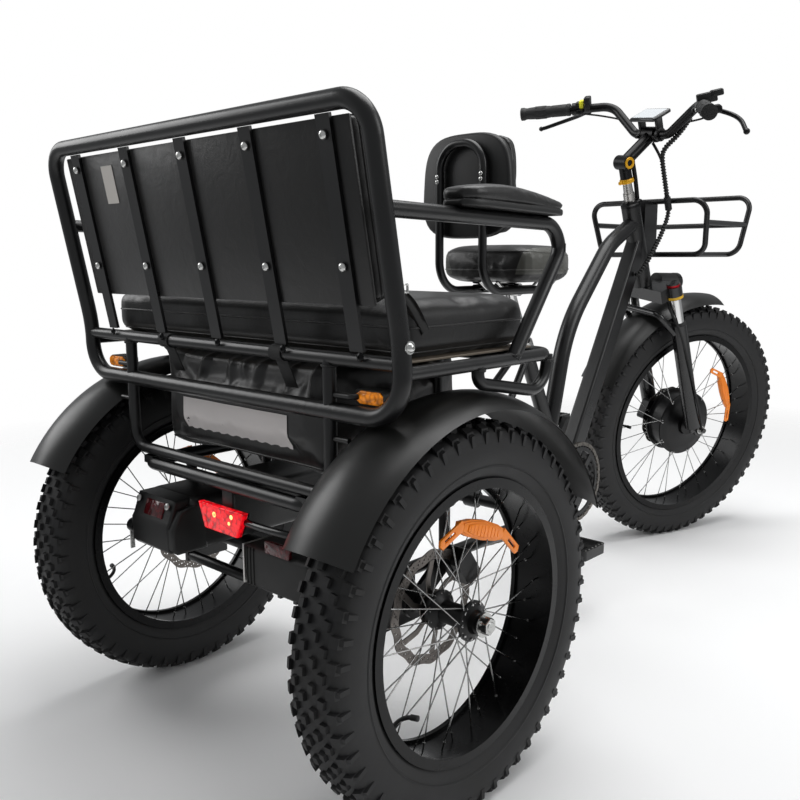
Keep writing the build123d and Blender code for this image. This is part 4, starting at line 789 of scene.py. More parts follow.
seat_pad = stuffed(pillow(cushion_size, 20, 4, placed(*cushion_centre)), swell)
cover("bench_seat_cushion", seat_pad, [(at(0, 7, 716), (0, 0, 1), 0.0018),
                                       (at(0, 7, 683), (0, 0, 1), 0.0015)],
      leathercloth, "bench_cushion", "vinyl_black")
back_pad = stuffed(pillow(panel_size, 15, 0, on_back(0, panel_z, panel_forward)), 0.005)
cover("bench_back_panel", back_pad,
      [(back_point(0, panel_z, 24), (0, cos(back_lean), sin(back_lean)), 0.0016)],
      leathercloth, "bench_backrest", "vinyl_black")
settle("bench_back_board", slab((692, 5, 232), 2, place=on_back(0, panel_z, 5.6)), leathercloth, "frame",
       "vinyl_black", sharp=35)
label_paper = coating("blank_white_label", "#c9c4be", 0.5, 0.8, 0.1, drift=0.05)
settle("blank_label", slab((34, 0.5, 60), place=on_back(-221, 924, 2.6)), label_paper, "frame", "vinyl_black")
rows = []
for share in [i / 8 for i in range(9)]:
    bend = sin(pi * share)
    rows.append([at(372 - 14 * j / 6 - bend * j, -131 + 46 * share + 3 * sin(j * 1.3),
                    766 - 50 * share - 14 * j / 6 + 8 * bend) for j in range(7)])
flap = sheet(rows)
bmesh.ops.solidify(flap, geom=flap.faces[:], thickness=0.0016)
settle("cushion_end_flap", written(flap), leathercloth, "frame", "vinyl_black", sharp=60)
buckle = [slab(size, 0.8, place=placed(371, y, z)) for size, y, z in
          (((3, 9, 2.4), -129, 763), ((3, 9, 2.4), -129, 773), ((3, 2.4, 12), -133.5, 768),
           ((3, 2.4, 12), -124.5, 768))]
settle("cushion_buckle", buckle, bright_screw, "frame", "rotor_steel", sharp=40)

# The armrests: a moulded black base under each pad, screwed up through the rail, and a
# foam pad in the same leathercloth, high at its rear and falling to the front.
moulded = coating("black_moulded_polypropylene", "#0e0e0e", 0.42, 0.9, 0.2, drift=0.12)
arm_place, arm_slope, arm_half = (385, 61, 880), -1.5, 0.115
pads, bases = [], []
for side in (-1, 1):
    pad = pillow((58, 230, 15), 7, 4, Matrix.Translation((0, 0, 0.0035)))
    base = pillow((56, 228, 10), 4, 0, Matrix.Translation((0, 0, -0.0072)))
    for part in (pad, base):
        for vert in part.vertices:
            along = vert.co.y / arm_half
            rear_end = min(max(0, (-along - 0.72) / 0.28), 1) ** 2
            front_end = min(max(0, (along - 0.82) / 0.18), 1) ** 2
            vert.co.x *= (1 - 0.1 * along) * (1 - 0.85 * (rear_end + 0.4 * front_end)) ** 0.5
            vert.co.z += 0.0045 * cos(2 * (along + 0.3)) * (vert.co.z > 0.004)
        part.transform(placed(side * arm_place[0], *arm_place[1:], about("X", arm_slope)))
    pads.append(pad)
    bases.append(base)
cover("armrest_cushions", stuffed(joined(pads), 0.003, voxel=0.004),
      [(at(0, 61, 877.5), (0, 0.026, 1), 0.0012)],
      leathercloth, "armrest_pads", "vinyl_black")
settle("armrest_bases", bases, moulded, "frame", "plastic_black", "armrest_pads", sharp=40)

# The cargo bag under the bench: thin PVC-coated cloth, gathered into deep folds at the
# top and piped along its edges, hung from the rear rail by two webbing loops, with a bare
# light-grey patch sewn on its back.
bag_cloth = leathercloth.copy()
bag_cloth.name = "black_coated_bag_cloth"
shader = next(node for node in bag_cloth.node_tree.nodes if node.type == "BSDF_PRINCIPLED")
shader.inputs["Specular IOR Level"].default_value = 0.6
patch_cloth = coating("bare_grey_sewn_patch", "#dcd6d4", 0.62, 0.8, 0.35, drift=0.07)
webbing = coating("black_nylon_webbing", "#171717", 0.7, 1.4, 0.6, drift=0.15)
bag_size, bag_centre, fold_start, fold_reach = (420, 304, 162), (-3, 37, 573), 0.58, 0.06
patch_left, patch_low, patch_width, patch_height, columns, rows = -142, 524, 271, 53, 36, 8
strap_line = [(-13, 9.8), (-13, 11.6), (13, 11.6), (13, 9.8)]

bag = stuffed(pillow(bag_size, 17, 0, placed(*bag_centre)), swell)
for vert in bag.vertices:
    height = min(max((vert.co.z - fold_start) / fold_reach, 0), 1)
    crease = noise.noise(Vector((vert.co.x * 15, 3.1, vert.co.z * 7)))
    fold = 1 - min(1, abs(crease) * 4.5)
    slack = noise.noise(Vector((vert.co.x * 14, vert.co.y * 9, vert.co.z * 16)))
    outward = -1 if vert.co.y < at(*bag_centre).y else 1
    vert.co.y += outward * (0.009 * height * (fold - 0.5) + 0.003 * slack)
cover("cargo_bag_skin", bag, [(at(0, 37, 501), (0, 0, 1), 0.002)], bag_cloth, "cargo_bag", "bag_vinyl")

skin = BVHTree.FromPolygons([vert.co for vert in bag.vertices],
                            [polygon.vertices for polygon in bag.polygons])
grid = []
for i in range(columns, -1, -1):
    line = []
    for j in range(rows + 1):
        spot = at(patch_left + patch_width * i / columns, -200, patch_low + patch_height * j / rows)
        hit = skin.ray_cast(spot, Vector((0, 1, 0)))[0]
        frill = 0.0012 * sin(i * 1.9) * (1 - j / rows)
        line.append((spot.x, hit.y - 0.0012 + frill * 0.5, spot.z + frill))
    grid.append(line)
patch = written(sheet(grid))
patch.materials.append(patch_cloth)
for polygon in patch.polygons:
    polygon.use_smooth = True
piece = linked("bag_patch", patch)
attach(piece, "frame")
straps = []
for x in (-137, 149):
    straps += [moved(turned(strap_line, 28), placed(x, -150, 674)),
               slab((26, 1.8, 46), 0.6, place=placed(x, -138, 643, about("X", 24)))]
settle("bag_strap_loops", straps, webbing, "frame", "bag_vinyl", sharp=40)

# The rear fenders and small boxes: injection-moulded in satin black, ground and scuffed to
# a mid grey by the light; the controller in a coated alloy case with bare end plates, the
# battery in a moulded case with its lock, and acrylic lamp lenses.
fender_plastic = coating("satin_black_fender_moulding", "#191918", 0.34, 2.2, 0.08, drift=0.12)
case_coat = coating("matt_black_coated_alloy_case", "#161615", 0.55, 0.6, 0.2)
bare_alloy = coating("brushed_bare_aluminium", "#c9c7c4", 0.3, 0.6, 0.2, metallic=1.0)
gloss_sleeve = coating("black_glossy_sleeve", "#0c0c0d", 0.2, 1.0, 0.05, drift=0.08)
cap_line = [(-120, 324), (-184, 324), (-191, 331), (-191, 371), (-187, 377), (-174, 412), (-120, 413)]
ridge_line = [(-120, 323), (-178, 323), (-189, 334), (-189, 366), (-172, 396), (-120, 408)]
lock_line = [(-214, 0.4), (-214, 12), (-231, 12), (-234, 10), (-234, 0.4)]
lens_line = [(-58, 21), (58, 21), (40, -20), (-43, -20)]
housing_line = [(-55, 19), (55, 19), (38, -18), (-40, -18)]
signal_line = [(-24, 3), (-15, 8.5), (19, 8.5), (24, 4), (24, -4), (19, -8.5), (-15, -8.5), (-24, -3)]
sleeve_route = ((72, -160, 409), (120, -164, 410), (176, -160, 411), (188, -140, 404), (188, -132, 366))


def lit_acrylic(name, colour, glow):
    """Clear coloured acrylic with a faceted inside; the glow is light it gives off: its lamp's light in a lit
    lens, and a painted glow in an unlit lens or reflector.
    """
    made = bpy.data.materials.new(name)
    tree = emptied(made)
    place = add(tree, "ShaderNodeTexCoord").outputs["Object"]
    facets = add(tree, "ShaderNodeTexVoronoi", [("Vector", place), ("Scale", 130.0)]).outputs["Distance"]
    shade = add(tree, "ShaderNodeMix", [(0, facets), (6, linear(colour)),
                                        (7, [c * 0.12 for c in linear(colour)])],
                data_type="RGBA")
    bump = add(tree, "ShaderNodeBump", [("Height", facets), ("Strength", 0.35), ("Distance", 0.002)])
    shader = add(tree, "ShaderNodeBsdfPrincipled", [("Base Color", shade.outputs[2]), ("Roughness", 0.14),
                                                    ("Normal", bump.outputs[0]), ("Coat Weight", 0.25),
                                                    ("Emission Color", shade.outputs[2]),
                                                    ("Emission Strength", glow)])
    add(tree, "ShaderNodeOutputMaterial", [("Surface", shader.outputs[0])])
    return made


def across_plate(outline, thickness, edge=0.0):
    """A plate square to Y cut along an outline of (x, z) in millimetres."""
    return moved(cut_plate([outline], thickness, edge), about("Z", -90))


def eased(points, rounds=2):
    """A row of points with its corners cut, so that a cable bends softly."""
    for turn in range(rounds):
        cut = [points[0]]
        for one, other in zip(points, points[1:]):
            cut += [one.lerp(other, 0.25), one.lerp(other, 0.75)]
        points = cut + [points[-1]]
    return points


dress(fender_plastic, "rear_fenders", "front_fender")
dress(powder_coat, "axle_housing")
dress(moulded, "turn_signals", "headlamp", "pedal_left", "pedal_right")
dress(hub_alloy, "rear_calipers", "front_caliper", "crankset")
settle("controller_case", slab((152, 85, 67), 9, 3, placed(124, -107, 336)), case_coat, "frame", "case_alloy",
       "controller_box", sharp=35)
plates = [slab((4, 84, 64), 1, place=placed(x, -107, 336)) for x in (45.5, 201)]
settle("controller_end_plates", plates, bare_alloy, "frame", "case_alloy", sharp=35)
fins = [slab((2, 3, 60), 0.8, place=placed(x, -149.4, 336)) for x in (56, 64, 72)]
settle("controller_fins", fins, case_coat, "frame", "case_alloy", sharp=35)
battery = [slab((131, 330, 91), 13, 3, placed(-153.7, 15, 368)),
           moved(cut_plate([cap_line], 112, 5), placed(-156, 0, 0)),
           moved(cut_plate([ridge_line], 26, 6), placed(-101, 0, 0)),
           moved(turned(lock_line, 28), placed(0, -178, 348))]
settle("battery_shell", battery, moulded, "frame", "case_alloy", "battery_case", sharp=35)
battery_key = [slab((2.2, 9, 34), 1, place=placed(-231, -180, 322))]
battery_key += [moved(head.copy(), placed(x, -182, 403, about("X", -20))) for x in (-197, -112)]
settle("battery_key", battery_key, nut_steel, "frame", "rotor_steel")

lens_on = lit_acrylic("red_acrylic_lens_lit", "#ff1020", 1.0)
# The dark red reflectors are no lamps; their faint emission is a painted glow.
reflector_painted_glow = lit_acrylic("dark_red_acrylic_reflector_painted_glow", "#5e0710", 0.06)
# The unlit orange turn signal lenses and pedal reflectors carry a painted glow: emission that brightens their
# orange.
lens_orange = lit_acrylic("orange_acrylic_lens_painted_glow", "#ff9412", 0.4)
hot_spot = lit_acrylic("lamp_filament_glow", "#ffb46a", 5.0)
lens = moved(across_plate(lens_line, 12, 2.5), placed(19, -165, 404))
settle("tail_lamp_lens", lens, lens_on, "frame", "lens_red", "tail_lamp", sharp=40)
bracket = slab((26, 6, 34), 1, place=Matrix.Translation((0, 0.003, 0.03)))
backing = moved(joined([across_plate(housing_line, 6, 1.5), bracket]), placed(19, -156.4, 404))
settle("tail_lamp_housing", backing, moulded, "frame", "plastic_black", "tail_lamp", sharp=40)
spots = []
for x, z, size in ((4, 411, 4.4), (48, 415, 3.6), (42, 404, 2.8)):
    spot = turned([(0, size), (-0.8, size), (-1.4, size * 0.6), (-1.4, 0.2)], 16, closed=False)
    spots.append(moved(spot, placed(x, -170.7, z, about("Z", 90))))
settle("tail_lamp_bulbs", spots, hot_spot, "frame", "lens_red")
low_reflector = slab((57, 8, 20), 2.5, 2, placed(130, -148, 376))
settle("controller_reflector", low_reflector, reflector_painted_glow, "frame", "lens_red", sharp=40)
tilted_reflector = slab((54, 4, 27), 2, 2, placed(-150, -182, 393, about("X", -20)))
settle("battery_reflector", tilted_reflector, reflector_painted_glow, "frame", "lens_red", sharp=40)
sleeve = rolled(eased([at(*point) for point in sleeve_route]), 0.0058)
settle("tail_lamp_lead_sleeve", sleeve, gloss_sleeve, "frame", "rubber_black", sharp=40)
lenses = [moved(across_plate([(share * x, share * z) for x, z in signal_line], depth, 1),
                placed(side * 318, -141, 625, Matrix.Diagonal((side, 1, 1, 1))))
          for side in (-1, 1) for share, depth in ((1, 5), (0.6, 8))]
settle("turn_signal_lenses", lenses, lens_orange, "frame", "lens_orange", sharp=40)

# The saddle and its back: a foam saddle and back pad in leathercloth over moulded shells,
# a satin black back shell screwed on near its corners, and the chromed steel seat post
# with its rail clamp and two coil springs.
black_screw = coating("black_oxide_screw", "#151516", 0.3, 0.5, 0.1, metallic=0.8)
chrome = coating("bright_chromed_steel", "#d9d9d8", 0.1, 0.5, 0.03, metallic=1.0, drift=0.06)
dress(chrome, "seat_post")
# The saddle cover is black leathercloth with a painted warm grey sheen on its upper sides, above the skirt,
# where the light falls.
saddle_cloth = leathercloth.copy()
saddle_cloth.name = "black_leathercloth_with_painted_grey_sheen"
tree = saddle_cloth.node_tree
shader = next(node for node in tree.nodes if node.type == "BSDF_PRINCIPLED")
place = add(tree, "ShaderNodeTexCoord")
axes = add(tree, "ShaderNodeSeparateXYZ", [(0, place.outputs["Object"])])
outward = add(tree, "ShaderNodeMath", [(0, axes.outputs[0])], operation="ABSOLUTE")
grey_half, grey_z, grey_lean, skirt_top = 0.076, 0.757, 0.35, 0.772
lean = add(tree, "ShaderNodeMath", [(0, axes.outputs[2]), (1, grey_lean),
                                    (2, grey_half - grey_lean * grey_z)],
           operation="MULTIPLY_ADD")
painted_sheen_side = add(tree, "ShaderNodeMath", [(0, outward.outputs[0]), (1, lean.outputs[0])],
                 operation="GREATER_THAN")
above_skirt = add(tree, "ShaderNodeMath", [(0, axes.outputs[2]), (1, skirt_top)], operation="GREATER_THAN")
# Where the painted grey sheen goes: the upper sides, above the skirt.
panel = add(tree, "ShaderNodeMath", [(0, painted_sheen_side.outputs[0]), (1, above_skirt.outputs[0])],
            operation="MULTIPLY")
painted_sheen_tone = add(tree, "ShaderNodeMix", [(0, panel.outputs[0]),
                                       (6, shader.inputs["Base Color"].links[0].from_socket),
                                       (7, linear("#4c4c47"))], data_type="RGBA")
tree.links.new(painted_sheen_tone.outputs[2], shader.inputs["Base Color"])
# The saddle's rings from its rear to its nose: half width, underside, top and place.
saddle_rings = ((80, 768, 812, 513), (104, 760, 823, 517), (115, 757, 828, 530), (121, 757, 829, 560),
                (123, 757, 829, 595), (122, 757, 828, 640), (106, 757, 826, 680), (76, 757, 823, 715),
                (48, 757, 820, 748), (36, 759, 816, 768), (26, 766, 806, 777), (14, 776, 798, 779.5))
saddle_screw_line = [(0, 0), (0, 5.4), (1.4, 5.0), (2.2, 3.4), (2.2, 2.0), (0.9, 1.8), (0.9, 0)]
rest_z, rest_half = 945.5, 102
coil_radius, coil_rise, coil_steps = 11, 3.52, 73


def reach(angle, square):
    """How far a rounded square of half width one reaches at an angle."""
    return (abs(cos(angle)) ** square + abs(sin(angle)) ** square) ** (-1 / square)


def oval(half_width, low, high, y, square=4.6, count=40):
    """A rounded ring square to Y about the middle plane, in millimetres."""
    return [at(half_width * reach(a, square) * cos(a), y,
               (low + high) / 2 + (high - low) / 2 * reach(a, square) * sin(a))
            for a in [2 * pi * i / count for i in range(count)]]


saddle = stuffed(lofted([oval(*ring) for ring in saddle_rings]), 0.003, voxel=0.005)
cover("saddle_cover", saddle, [(at(0, 640, 781), (0, 0, 1), 0.0016), (at(0, 640, 812), (0, 0.05, 1), 0.0013)],
      saddle_cloth, "saddle", "vinyl_black")
shell_line = [(110 * reach(a, 3.4) * cos(a) * (1 - 0.06 * sin(a)),
               rest_z + rest_half * reach(a, 3.4) * sin(a))
              for a in [2 * pi * i / 64 for i in range(64)]]
rim_line = [(x * 0.86, rest_z + (z - rest_z) * 0.86) for x, z in shell_line]
shell = joined([across_plate(shell_line, 20, 7), across_plate(rim_line, 5, 1.2)])
shell = moved(shell, placed(0, 463, 0))
settle("saddle_back_shell", shell, moulded, "frame", "plastic_black", "saddle_backrest", sharp=40)
rest_pad = pillow((214, 26, 198), 22, 0, placed(0, 482, rest_z))
for vert in rest_pad.vertices:
    height = (vert.co.z - rest_z / 1000) / 0.099
    across = vert.co.x / 0.107
    pinch = max(0, abs(height) * abs(across)) ** 3
    vert.co.x *= 1 - 0.14 * pinch
    vert.co.z = rest_z / 1000 + (vert.co.z - rest_z / 1000) * (1 - 0.1 * pinch)
cover("saddle_back_pad", stuffed(rest_pad, 0.003, voxel=0.005), [(at(0, 486, rest_z), (0, 1, 0), 0.0014)],
      leathercloth, "saddle_backrest", "vinyl_black")
shell_screws = [moved(turned(saddle_screw_line, 18, closed=False), placed(x, 458.5, z, about("Z", -90)))
                for x, z in ((80, 1018), (-80, 1018), (84, 872), (-84, 872))]
settle("saddle_back_screws", shell_screws, black_screw, "frame", "rotor_steel", sharp=40)
tube_screws = [moved(head.copy(), placed(side * 55, 433.4, z, Matrix.Scale(0.7, 4)))
               for side in (-1, 1) for z in (966, 956)]
settle("saddle_back_tube_screws", tube_screws, bright_screw, "frame", "rotor_steel", sharp=40)
coils = []
for side in (-1, 1):
    wire = [at(side * 45 + coil_radius * cos(a), 560 + coil_radius * sin(a), 735 + coil_rise * a / pi)
            for a in [pi * i / 6 for i in range(coil_steps)]]
    coils.append(rolled(wire, 0.0021, sides=2, steps=2))
settle("saddle_springs", coils, black_screw, "frame", "post_metal")
clamp_place = placed(0, 672, 608, Matrix.Rotation(atan2(842 - 606, 738 - 273), 4, "X"))
clamp_band = moved(turned([(-14, 17.2), (-14, 21), (14, 21), (14, 17.2)], 36), clamp_place @ about("Y", -90))
lever = slab((6, 46, 9), 2.5, place=clamp_place @ Matrix.Translation((0.024, -0.022, 0)))
settle("seat_clamp", [clamp_band, lever], nut_steel, "frame", "frame_black", sharp=35)

# The fork, stem and bars: black anodised fork crown and lowers on chromed stanchions, red
# anodised preload caps and a bare yellow band, a hinged stem with yellow rings on a bare
# steel post with tick marks, black bars, and moulded rubber grips.
fork_black = coating("gloss_black_painted_magnesium", "#0b0b0c", 0.26, 1.0, 0.06, drift=0.08, coat=0.3)
red_anodising = coating("red_anodised_aluminium", "#b3101f", 0.25, 0.5, 0.05, metallic=0.7)
yellow_paint = coating("yellow_printed_band", "#e0b01c", 0.4, 0.7, 0.1, drift=0.08)
bar_black = coating("black_anodised_bar", "#0d0d0e", 0.3, 0.8, 0.05, metallic=0.5)
yellow_coat = coating("yellow_anodised_ring", "#e2a70f", 0.3, 0.5, 0.05, metallic=0.25, drift=0.08)
brushed_steel = coating("brushed_stainless_post", "#bcbab7", 0.26, 0.5, 0.15, metallic=1.0)
grip_rubber = coating("black_moulded_grip_rubber", "#121212", 0.6, 1.1, 0.5, drift=0.12)
switch_yellow = coating("yellow_moulded_switch", "#f2ee28", 0.4, 0.8, 0.1)
gloss_black = coating("gloss_black_abs", "#101011", 0.16, 1.0, 0.03, drift=0.06, coat=0.4)
screen_glass = coating("pale_lcd_screen_off", "#dfe3e6", 0.12, 1.0, 0.02, drift=0.03, coat=0.5)
clear_lens = coating("ribbed_clear_lens", "#d7dbde", 0.08, 1.6, 0.3, drift=0.05, coat=0.6)
dress(fork_black, "fork_crown", "fork_lowers")
dress(bar_black, "handlebar", "stem")

leg_x, leg_y = 82, 30
# What each fork leg carries: name, outline, height on the head axis, sides, material and slot.
leg_rings = (("fork_preload_caps", [(0, 0.5), (0, 17.3), (5, 17.3), (8.6, 14), (8.6, 9.5), (6.5, 8.5),
                                    (6.5, 0.5)],
              -218, 24, red_anodising, "fork_metal"),
             ("fork_yellow_bands", [(0, 20.4), (0, 21.4), (7, 21.4), (7, 20.4)], -251, 48, yellow_paint,
              "fork_metal"),
             ("fork_stanchions", [(0, 14.9), (0, 15.1), (75.6, 15.1), (75.6, 14.9)], -327.8, 48, chrome,
              "fork_metal"),
             ("fork_dust_seals", [(0, 15.2), (0, 20.6), (4, 19.5), (7, 16.5), (7, 15.2)], -328, 40,
              tyre_rubber,
              "rubber_black"))
hinge_line = [(0, 7.5), (0, 14.5), (2.2, 13.6), (2.2, 8.4)]
collar_line = [(0, 14.6), (0, 17.4), (3, 18.4), (9, 17.4), (11, 15.2)]
post_line = [(0, 13.9), (0, 14.2), (34, 14.2), (35.3, 11.3), (64, 11.3), (64, 11)]
headset_line = [(0, 13.5), (0, 24.5), (6, 24.5), (9, 21), (15, 20.4), (15, 14.3)]
grip_line = [(-130, 11.6), (-130, 15.6), (-127, 16.3), (-121, 15.9), (-119, 14.9), (-117, 15.6), (-80, 15.3),
             (-77, 14.6), (-74, 15.5), (-48, 16.9), (-22, 15.6), (-12, 14.6), (-7, 15.3), (-4, 16.9),
             (4.5, 16.9),
             (5, 15.5), (5, 0.5)]
lever_tip_line = [(-7, 0.3), (-5, 4.6), (0, 7), (5, 4.6), (7, 0.3)]
lever_clamp_line = [(-151, 11.7), (-151, 16), (-135, 16), (-135, 11.7)]
display_band_line = [(-5, 11.2), (-5, 15.4), (-3.6, 16.6), (3.6, 16.6), (5, 15.4), (5, 11.2)]
bezel_line = [(-14, 23.4), (-14, 24.6), (-1, 24.6), (0.6, 23), (0.6, 20.6), (-2, 20), (-2, 0.4)]
glass_line = [(-1.8, 20.4), (-0.6, 18), (0.4, 9), (0.7, 0.3)]
lever_route = ((226, 92, 214), (258, 100, 204), (296, 88, 196), (330, 60, 190), (354, 38, 185),
               (362, 32, 185))
bar_way, bar_end, display_tilt = Vector((183, -156, 25)).normalized(), (333, -38, 247), 8
lamp_reach, lamp_foot = 76, (45.3, -226)
on_end = about("Y", -90)


def steered(x, y, z, turn=None):
    """A place in the steering frame, whose Z runs up from the top of the head tube, in millimetres."""
    place = steering_place @ Matrix.Translation((x / 1000, y / 1000, z / 1000))
    return place @ turn if turn is not None else place


def route(*points):
    """Points of the steering frame, in metres."""
    return [steered(*point).translation for point in points]


def facing(way):
    """The turn that points X along a way and keeps Z up."""
    return way.to_track_quat("X", "Z").to_matrix().to_4x4()


for name, outline, z, sides, material, slot in leg_rings:
    rings = [moved(turned(outline, sides), steered(side * leg_x, leg_y, z, on_end)) for side in (-1, 1)]
    settle(name, rings, material, "steering", slot, sharp=35)
rings = [moved(turned(hinge_line, 36),
               steered(0, 0, 113) @ Matrix.Diagonal((side, 1, 1, 1)) @ Matrix.Translation((0.0201, 0, 0)))
         for side in (-1, 1)]
rings += [moved(turned(collar_line, 40), steered(0, 0, 62, on_end)),
          slab((8, 12, 9), 3, place=steered(0, -20, 67))]
settle("stem_yellow_rings", rings, yellow_coat, "steering", "stem_black", sharp=35)
post = moved(turned(post_line, 40), steered(0, 0, 0.6, on_end))
settle("stem_post_sleeve", post, brushed_steel, "steering", "post_metal", sharp=35)
ticks = [slab((5 if i % 5 else 8, 0.5, 0.7), place=steered(0, -14.3 if i < 6 else -11.4, 6 + 5 * i))
         for i in range(12)]
settle("stem_post_ticks", ticks, moulded, "steering", "post_metal")
headset = [moved(turned(headset_line, 48), steered(0, 0, 0.2, on_end)),
           slab((9, 30, 10), 3, place=steered(16, 8, 9))]
settle("headset_clamp", headset, bar_black, "steering", "stem_black", sharp=35)
rod = rolled(route((5, 20, 8), (4, 26, 60), (4, 24, 104)), 0.0055)
settle("stem_lock_rod", rod, bar_black, "steering", "stem_black")

grips, switches, yellow_switch, lever_screws, levers = [], [], [], [], []
right_switches = ((switches, (24, 44, 22), (-160, 12, 16)), (switches, (26, 28, 14), (-160, 34, 22)),
                  (switches, (14, 26, 12), (-186, 12, 8)))
left_switches = ((switches, (16, 30, 36), (-177, 4, 12)), (yellow_switch, (12, 22, 20), (-161, 2, 12)),
                 (switches, (10, 24, 24), (-150, 0, 6)))
for side in (-1, 1):
    turn = facing(Vector((side * bar_way.x, bar_way.y, bar_way.z)))
    end = steered(side * bar_end[0], *bar_end[1:], turn)
    ridges = [slab((30, 3, 2), 0.9, place=about("X", 30 * i) @ Matrix.Translation((-0.05, 0, 0.0163)))
              for i in range(12)]
    grips.append(moved(joined([turned(grip_line, 40, closed=False)] + ridges), end))
    for kind, size, spot in left_switches if side < 0 else right_switches:
        kind.append(slab(size, 3, place=end @ Matrix.Translation([length / 1000 for length in spot])))
    levers += [rolled(route(*((side * x, y, z) for x, y, z in lever_route)), 0.0052),
               moved(turned(lever_tip_line, 16, closed=False), steered(side * 362, 32, 185, turn)),
               moved(turned(lever_clamp_line, 32), end),
               slab((46, 26, 17), 5, 2, steered(side * 232, 84, 218, turn)),
               slab((20, 44, 12), 4, 2, steered(side * 214, 62, 226, turn))]
    lever_screws += [moved(head.copy(), end @ Matrix.Translation((x, -0.016, -0.004)) @ Matrix.Scale(0.6, 4))
                     for x in (-0.14, -0.148)]
settle("bar_grips", grips, grip_rubber, "steering", "rubber_black", "grips", sharp=35)
settle("bar_switch_housings", switches, moulded, "steering", "plastic_black", sharp=35)
settle("bar_yellow_switch", yellow_switch, switch_yellow, "steering", "plastic_gloss", sharp=35)
settle("lever_clamp_screws", lever_screws, bright_screw, "steering", "rotor_steel", sharp=35)
settle("brake_levers", levers, bar_black, "steering", "plastic_black", "bar_controls", sharp=35)

tilt = about("X", display_tilt)
case = slab((85, 61, 10), 3.5, 3, steered(0, 103, 200, tilt))
settle("display_case", case, gloss_black, "steering", "display_face", "display", sharp=35)
mounts = [slab((46, 30, 8), 3, 2, steered(0, 102, 193, tilt))]
for side in (-1, 1):
    mounts += [moved(turned(display_band_line, 40), steered(side * 30, 99.5, 153)),
               slab((8, 22, 36), 3, 2, steered(side * 30, 100, 180)),
               slab((10, 15, 9), 2.5, 2, steered(side * 30, 82, 153))]
settle("display_mounts", mounts, moulded, "steering", "plastic_black", "display", sharp=35)
screen = slab((74, 50, 0.8), 0.2, place=steered(0, 102.3, 205.2, tilt))
settle("display_screen", screen, screen_glass, "steering", "display_face")
lamp_way = Vector((0, cos(radians(head_angle)), -sin(radians(head_angle))))
lamp_front = steered(0, lamp_foot[0] + lamp_reach * lamp_way.y, lamp_foot[1] + lamp_reach * lamp_way.z,
                     facing(lamp_way))
bezel = moved(turned(bezel_line, 48, closed=False), lamp_front)
settle("headlamp_bezel", bezel, gloss_black, "steering", "plastic_gloss", sharp=35)
glass = moved(turned(glass_line, 40, closed=False), lamp_front)
settle("headlamp_lens", glass, clear_lens, "steering", "plastic_gloss", sharp=50)

# The cables: a black ribbed conduit from the bars down beside the head tube into the down
# tube, brake hoses from the levers, and the hose and motor cable down the right fork leg.
conduit = coating("black_corrugated_conduit", "#0a0a0a", 0.32, 0.8, 0.1)
rib_spacing, rib_rise = 7.6, 1.9
steering_route = ((112, 122, 186), (80, 112, 150), (42, 90, 118), (40, 86, 92), (40, 86, 70), (40, 86, 3))
display_route = ((4, 96, 132), (22, 92, 112), (36, 88, 92), (40, 86, 78))
hose_route = ((222, 74, 214), (190, 104, 200), (150, 128, 184), (112, 126, 178))
fork_hose_route = ((-20, 46, -225), (-74, 8, -262), (-104, 12, -330), (-102, 26, -430), (-88, 20, -540),
                   (-52, -6, -604))
motor_route = ((16, 46, -226), (76, 6, -262), (106, 14, -340), (106, 28, -480), (108, 40, -600),
               (96, 49, -652))


def ribbed(points, radius):
    """A smooth cable with a round rib at every spacing along it, in metres, as one mesh."""
    rib_line = [(-2.2, radius * 1000 - 0.4), (-1.2, radius * 1000 + rib_rise),
                (1.2, radius * 1000 + rib_rise),
                (2.2, radius * 1000 - 0.4)]
    parts = [rolled(points, radius, sides=3)]
    left = 0.0
    for start, end in zip(points, points[1:]):
        way = (end - start).normalized()
        length = (end - start).length
        while left < length:
            parts.append(moved(turned(rib_line, 14), Matrix.Translation(start + way * left) @ facing(way)))
            left += rib_spacing / 1000
        left -= length
    return joined(parts)


upper = ribbed(eased(route(*steering_route)), 0.0048)
settle("steering_conduit", upper, conduit, "steering", "rubber_black", "bar_loom", sharp=180)
settle("display_cable", rolled(eased(route(*display_route)), 0.0036), conduit, "steering", "rubber_black")
lower = eased(route((40, 86, 1), (40, 86, -58)) + [at(40, 1128, 762), at(19.5, 1128, 762)])
piece = settle("frame_conduit", ribbed(lower, 0.0044), conduit, None, "rubber_black", "frame_loom", sharp=180)
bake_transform(piece)
boot = rolled(route((40, 86, -3), (40, 86, -24)) + lower[3:5], 0.0086)
piece = settle("loom_boot", boot, tyre_rubber, None, "rubber_black")
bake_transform(piece)
hoses = [rolled(eased(route(*((side * x, y, z) for x, y, z in hose_route))), 0.0024) for side in (-1, 1)]
settle("brake_hoses", hoses, tyre_rubber, "steering", "rubber_black")
settle("fork_hose", rolled(eased(route(*fork_hose_route)), 0.0025), tyre_rubber, "steering", "rubber_black")
settle("motor_cable", rolled(eased(route(*motor_route)), 0.0032), tyre_rubber, "steering", "rubber_black")

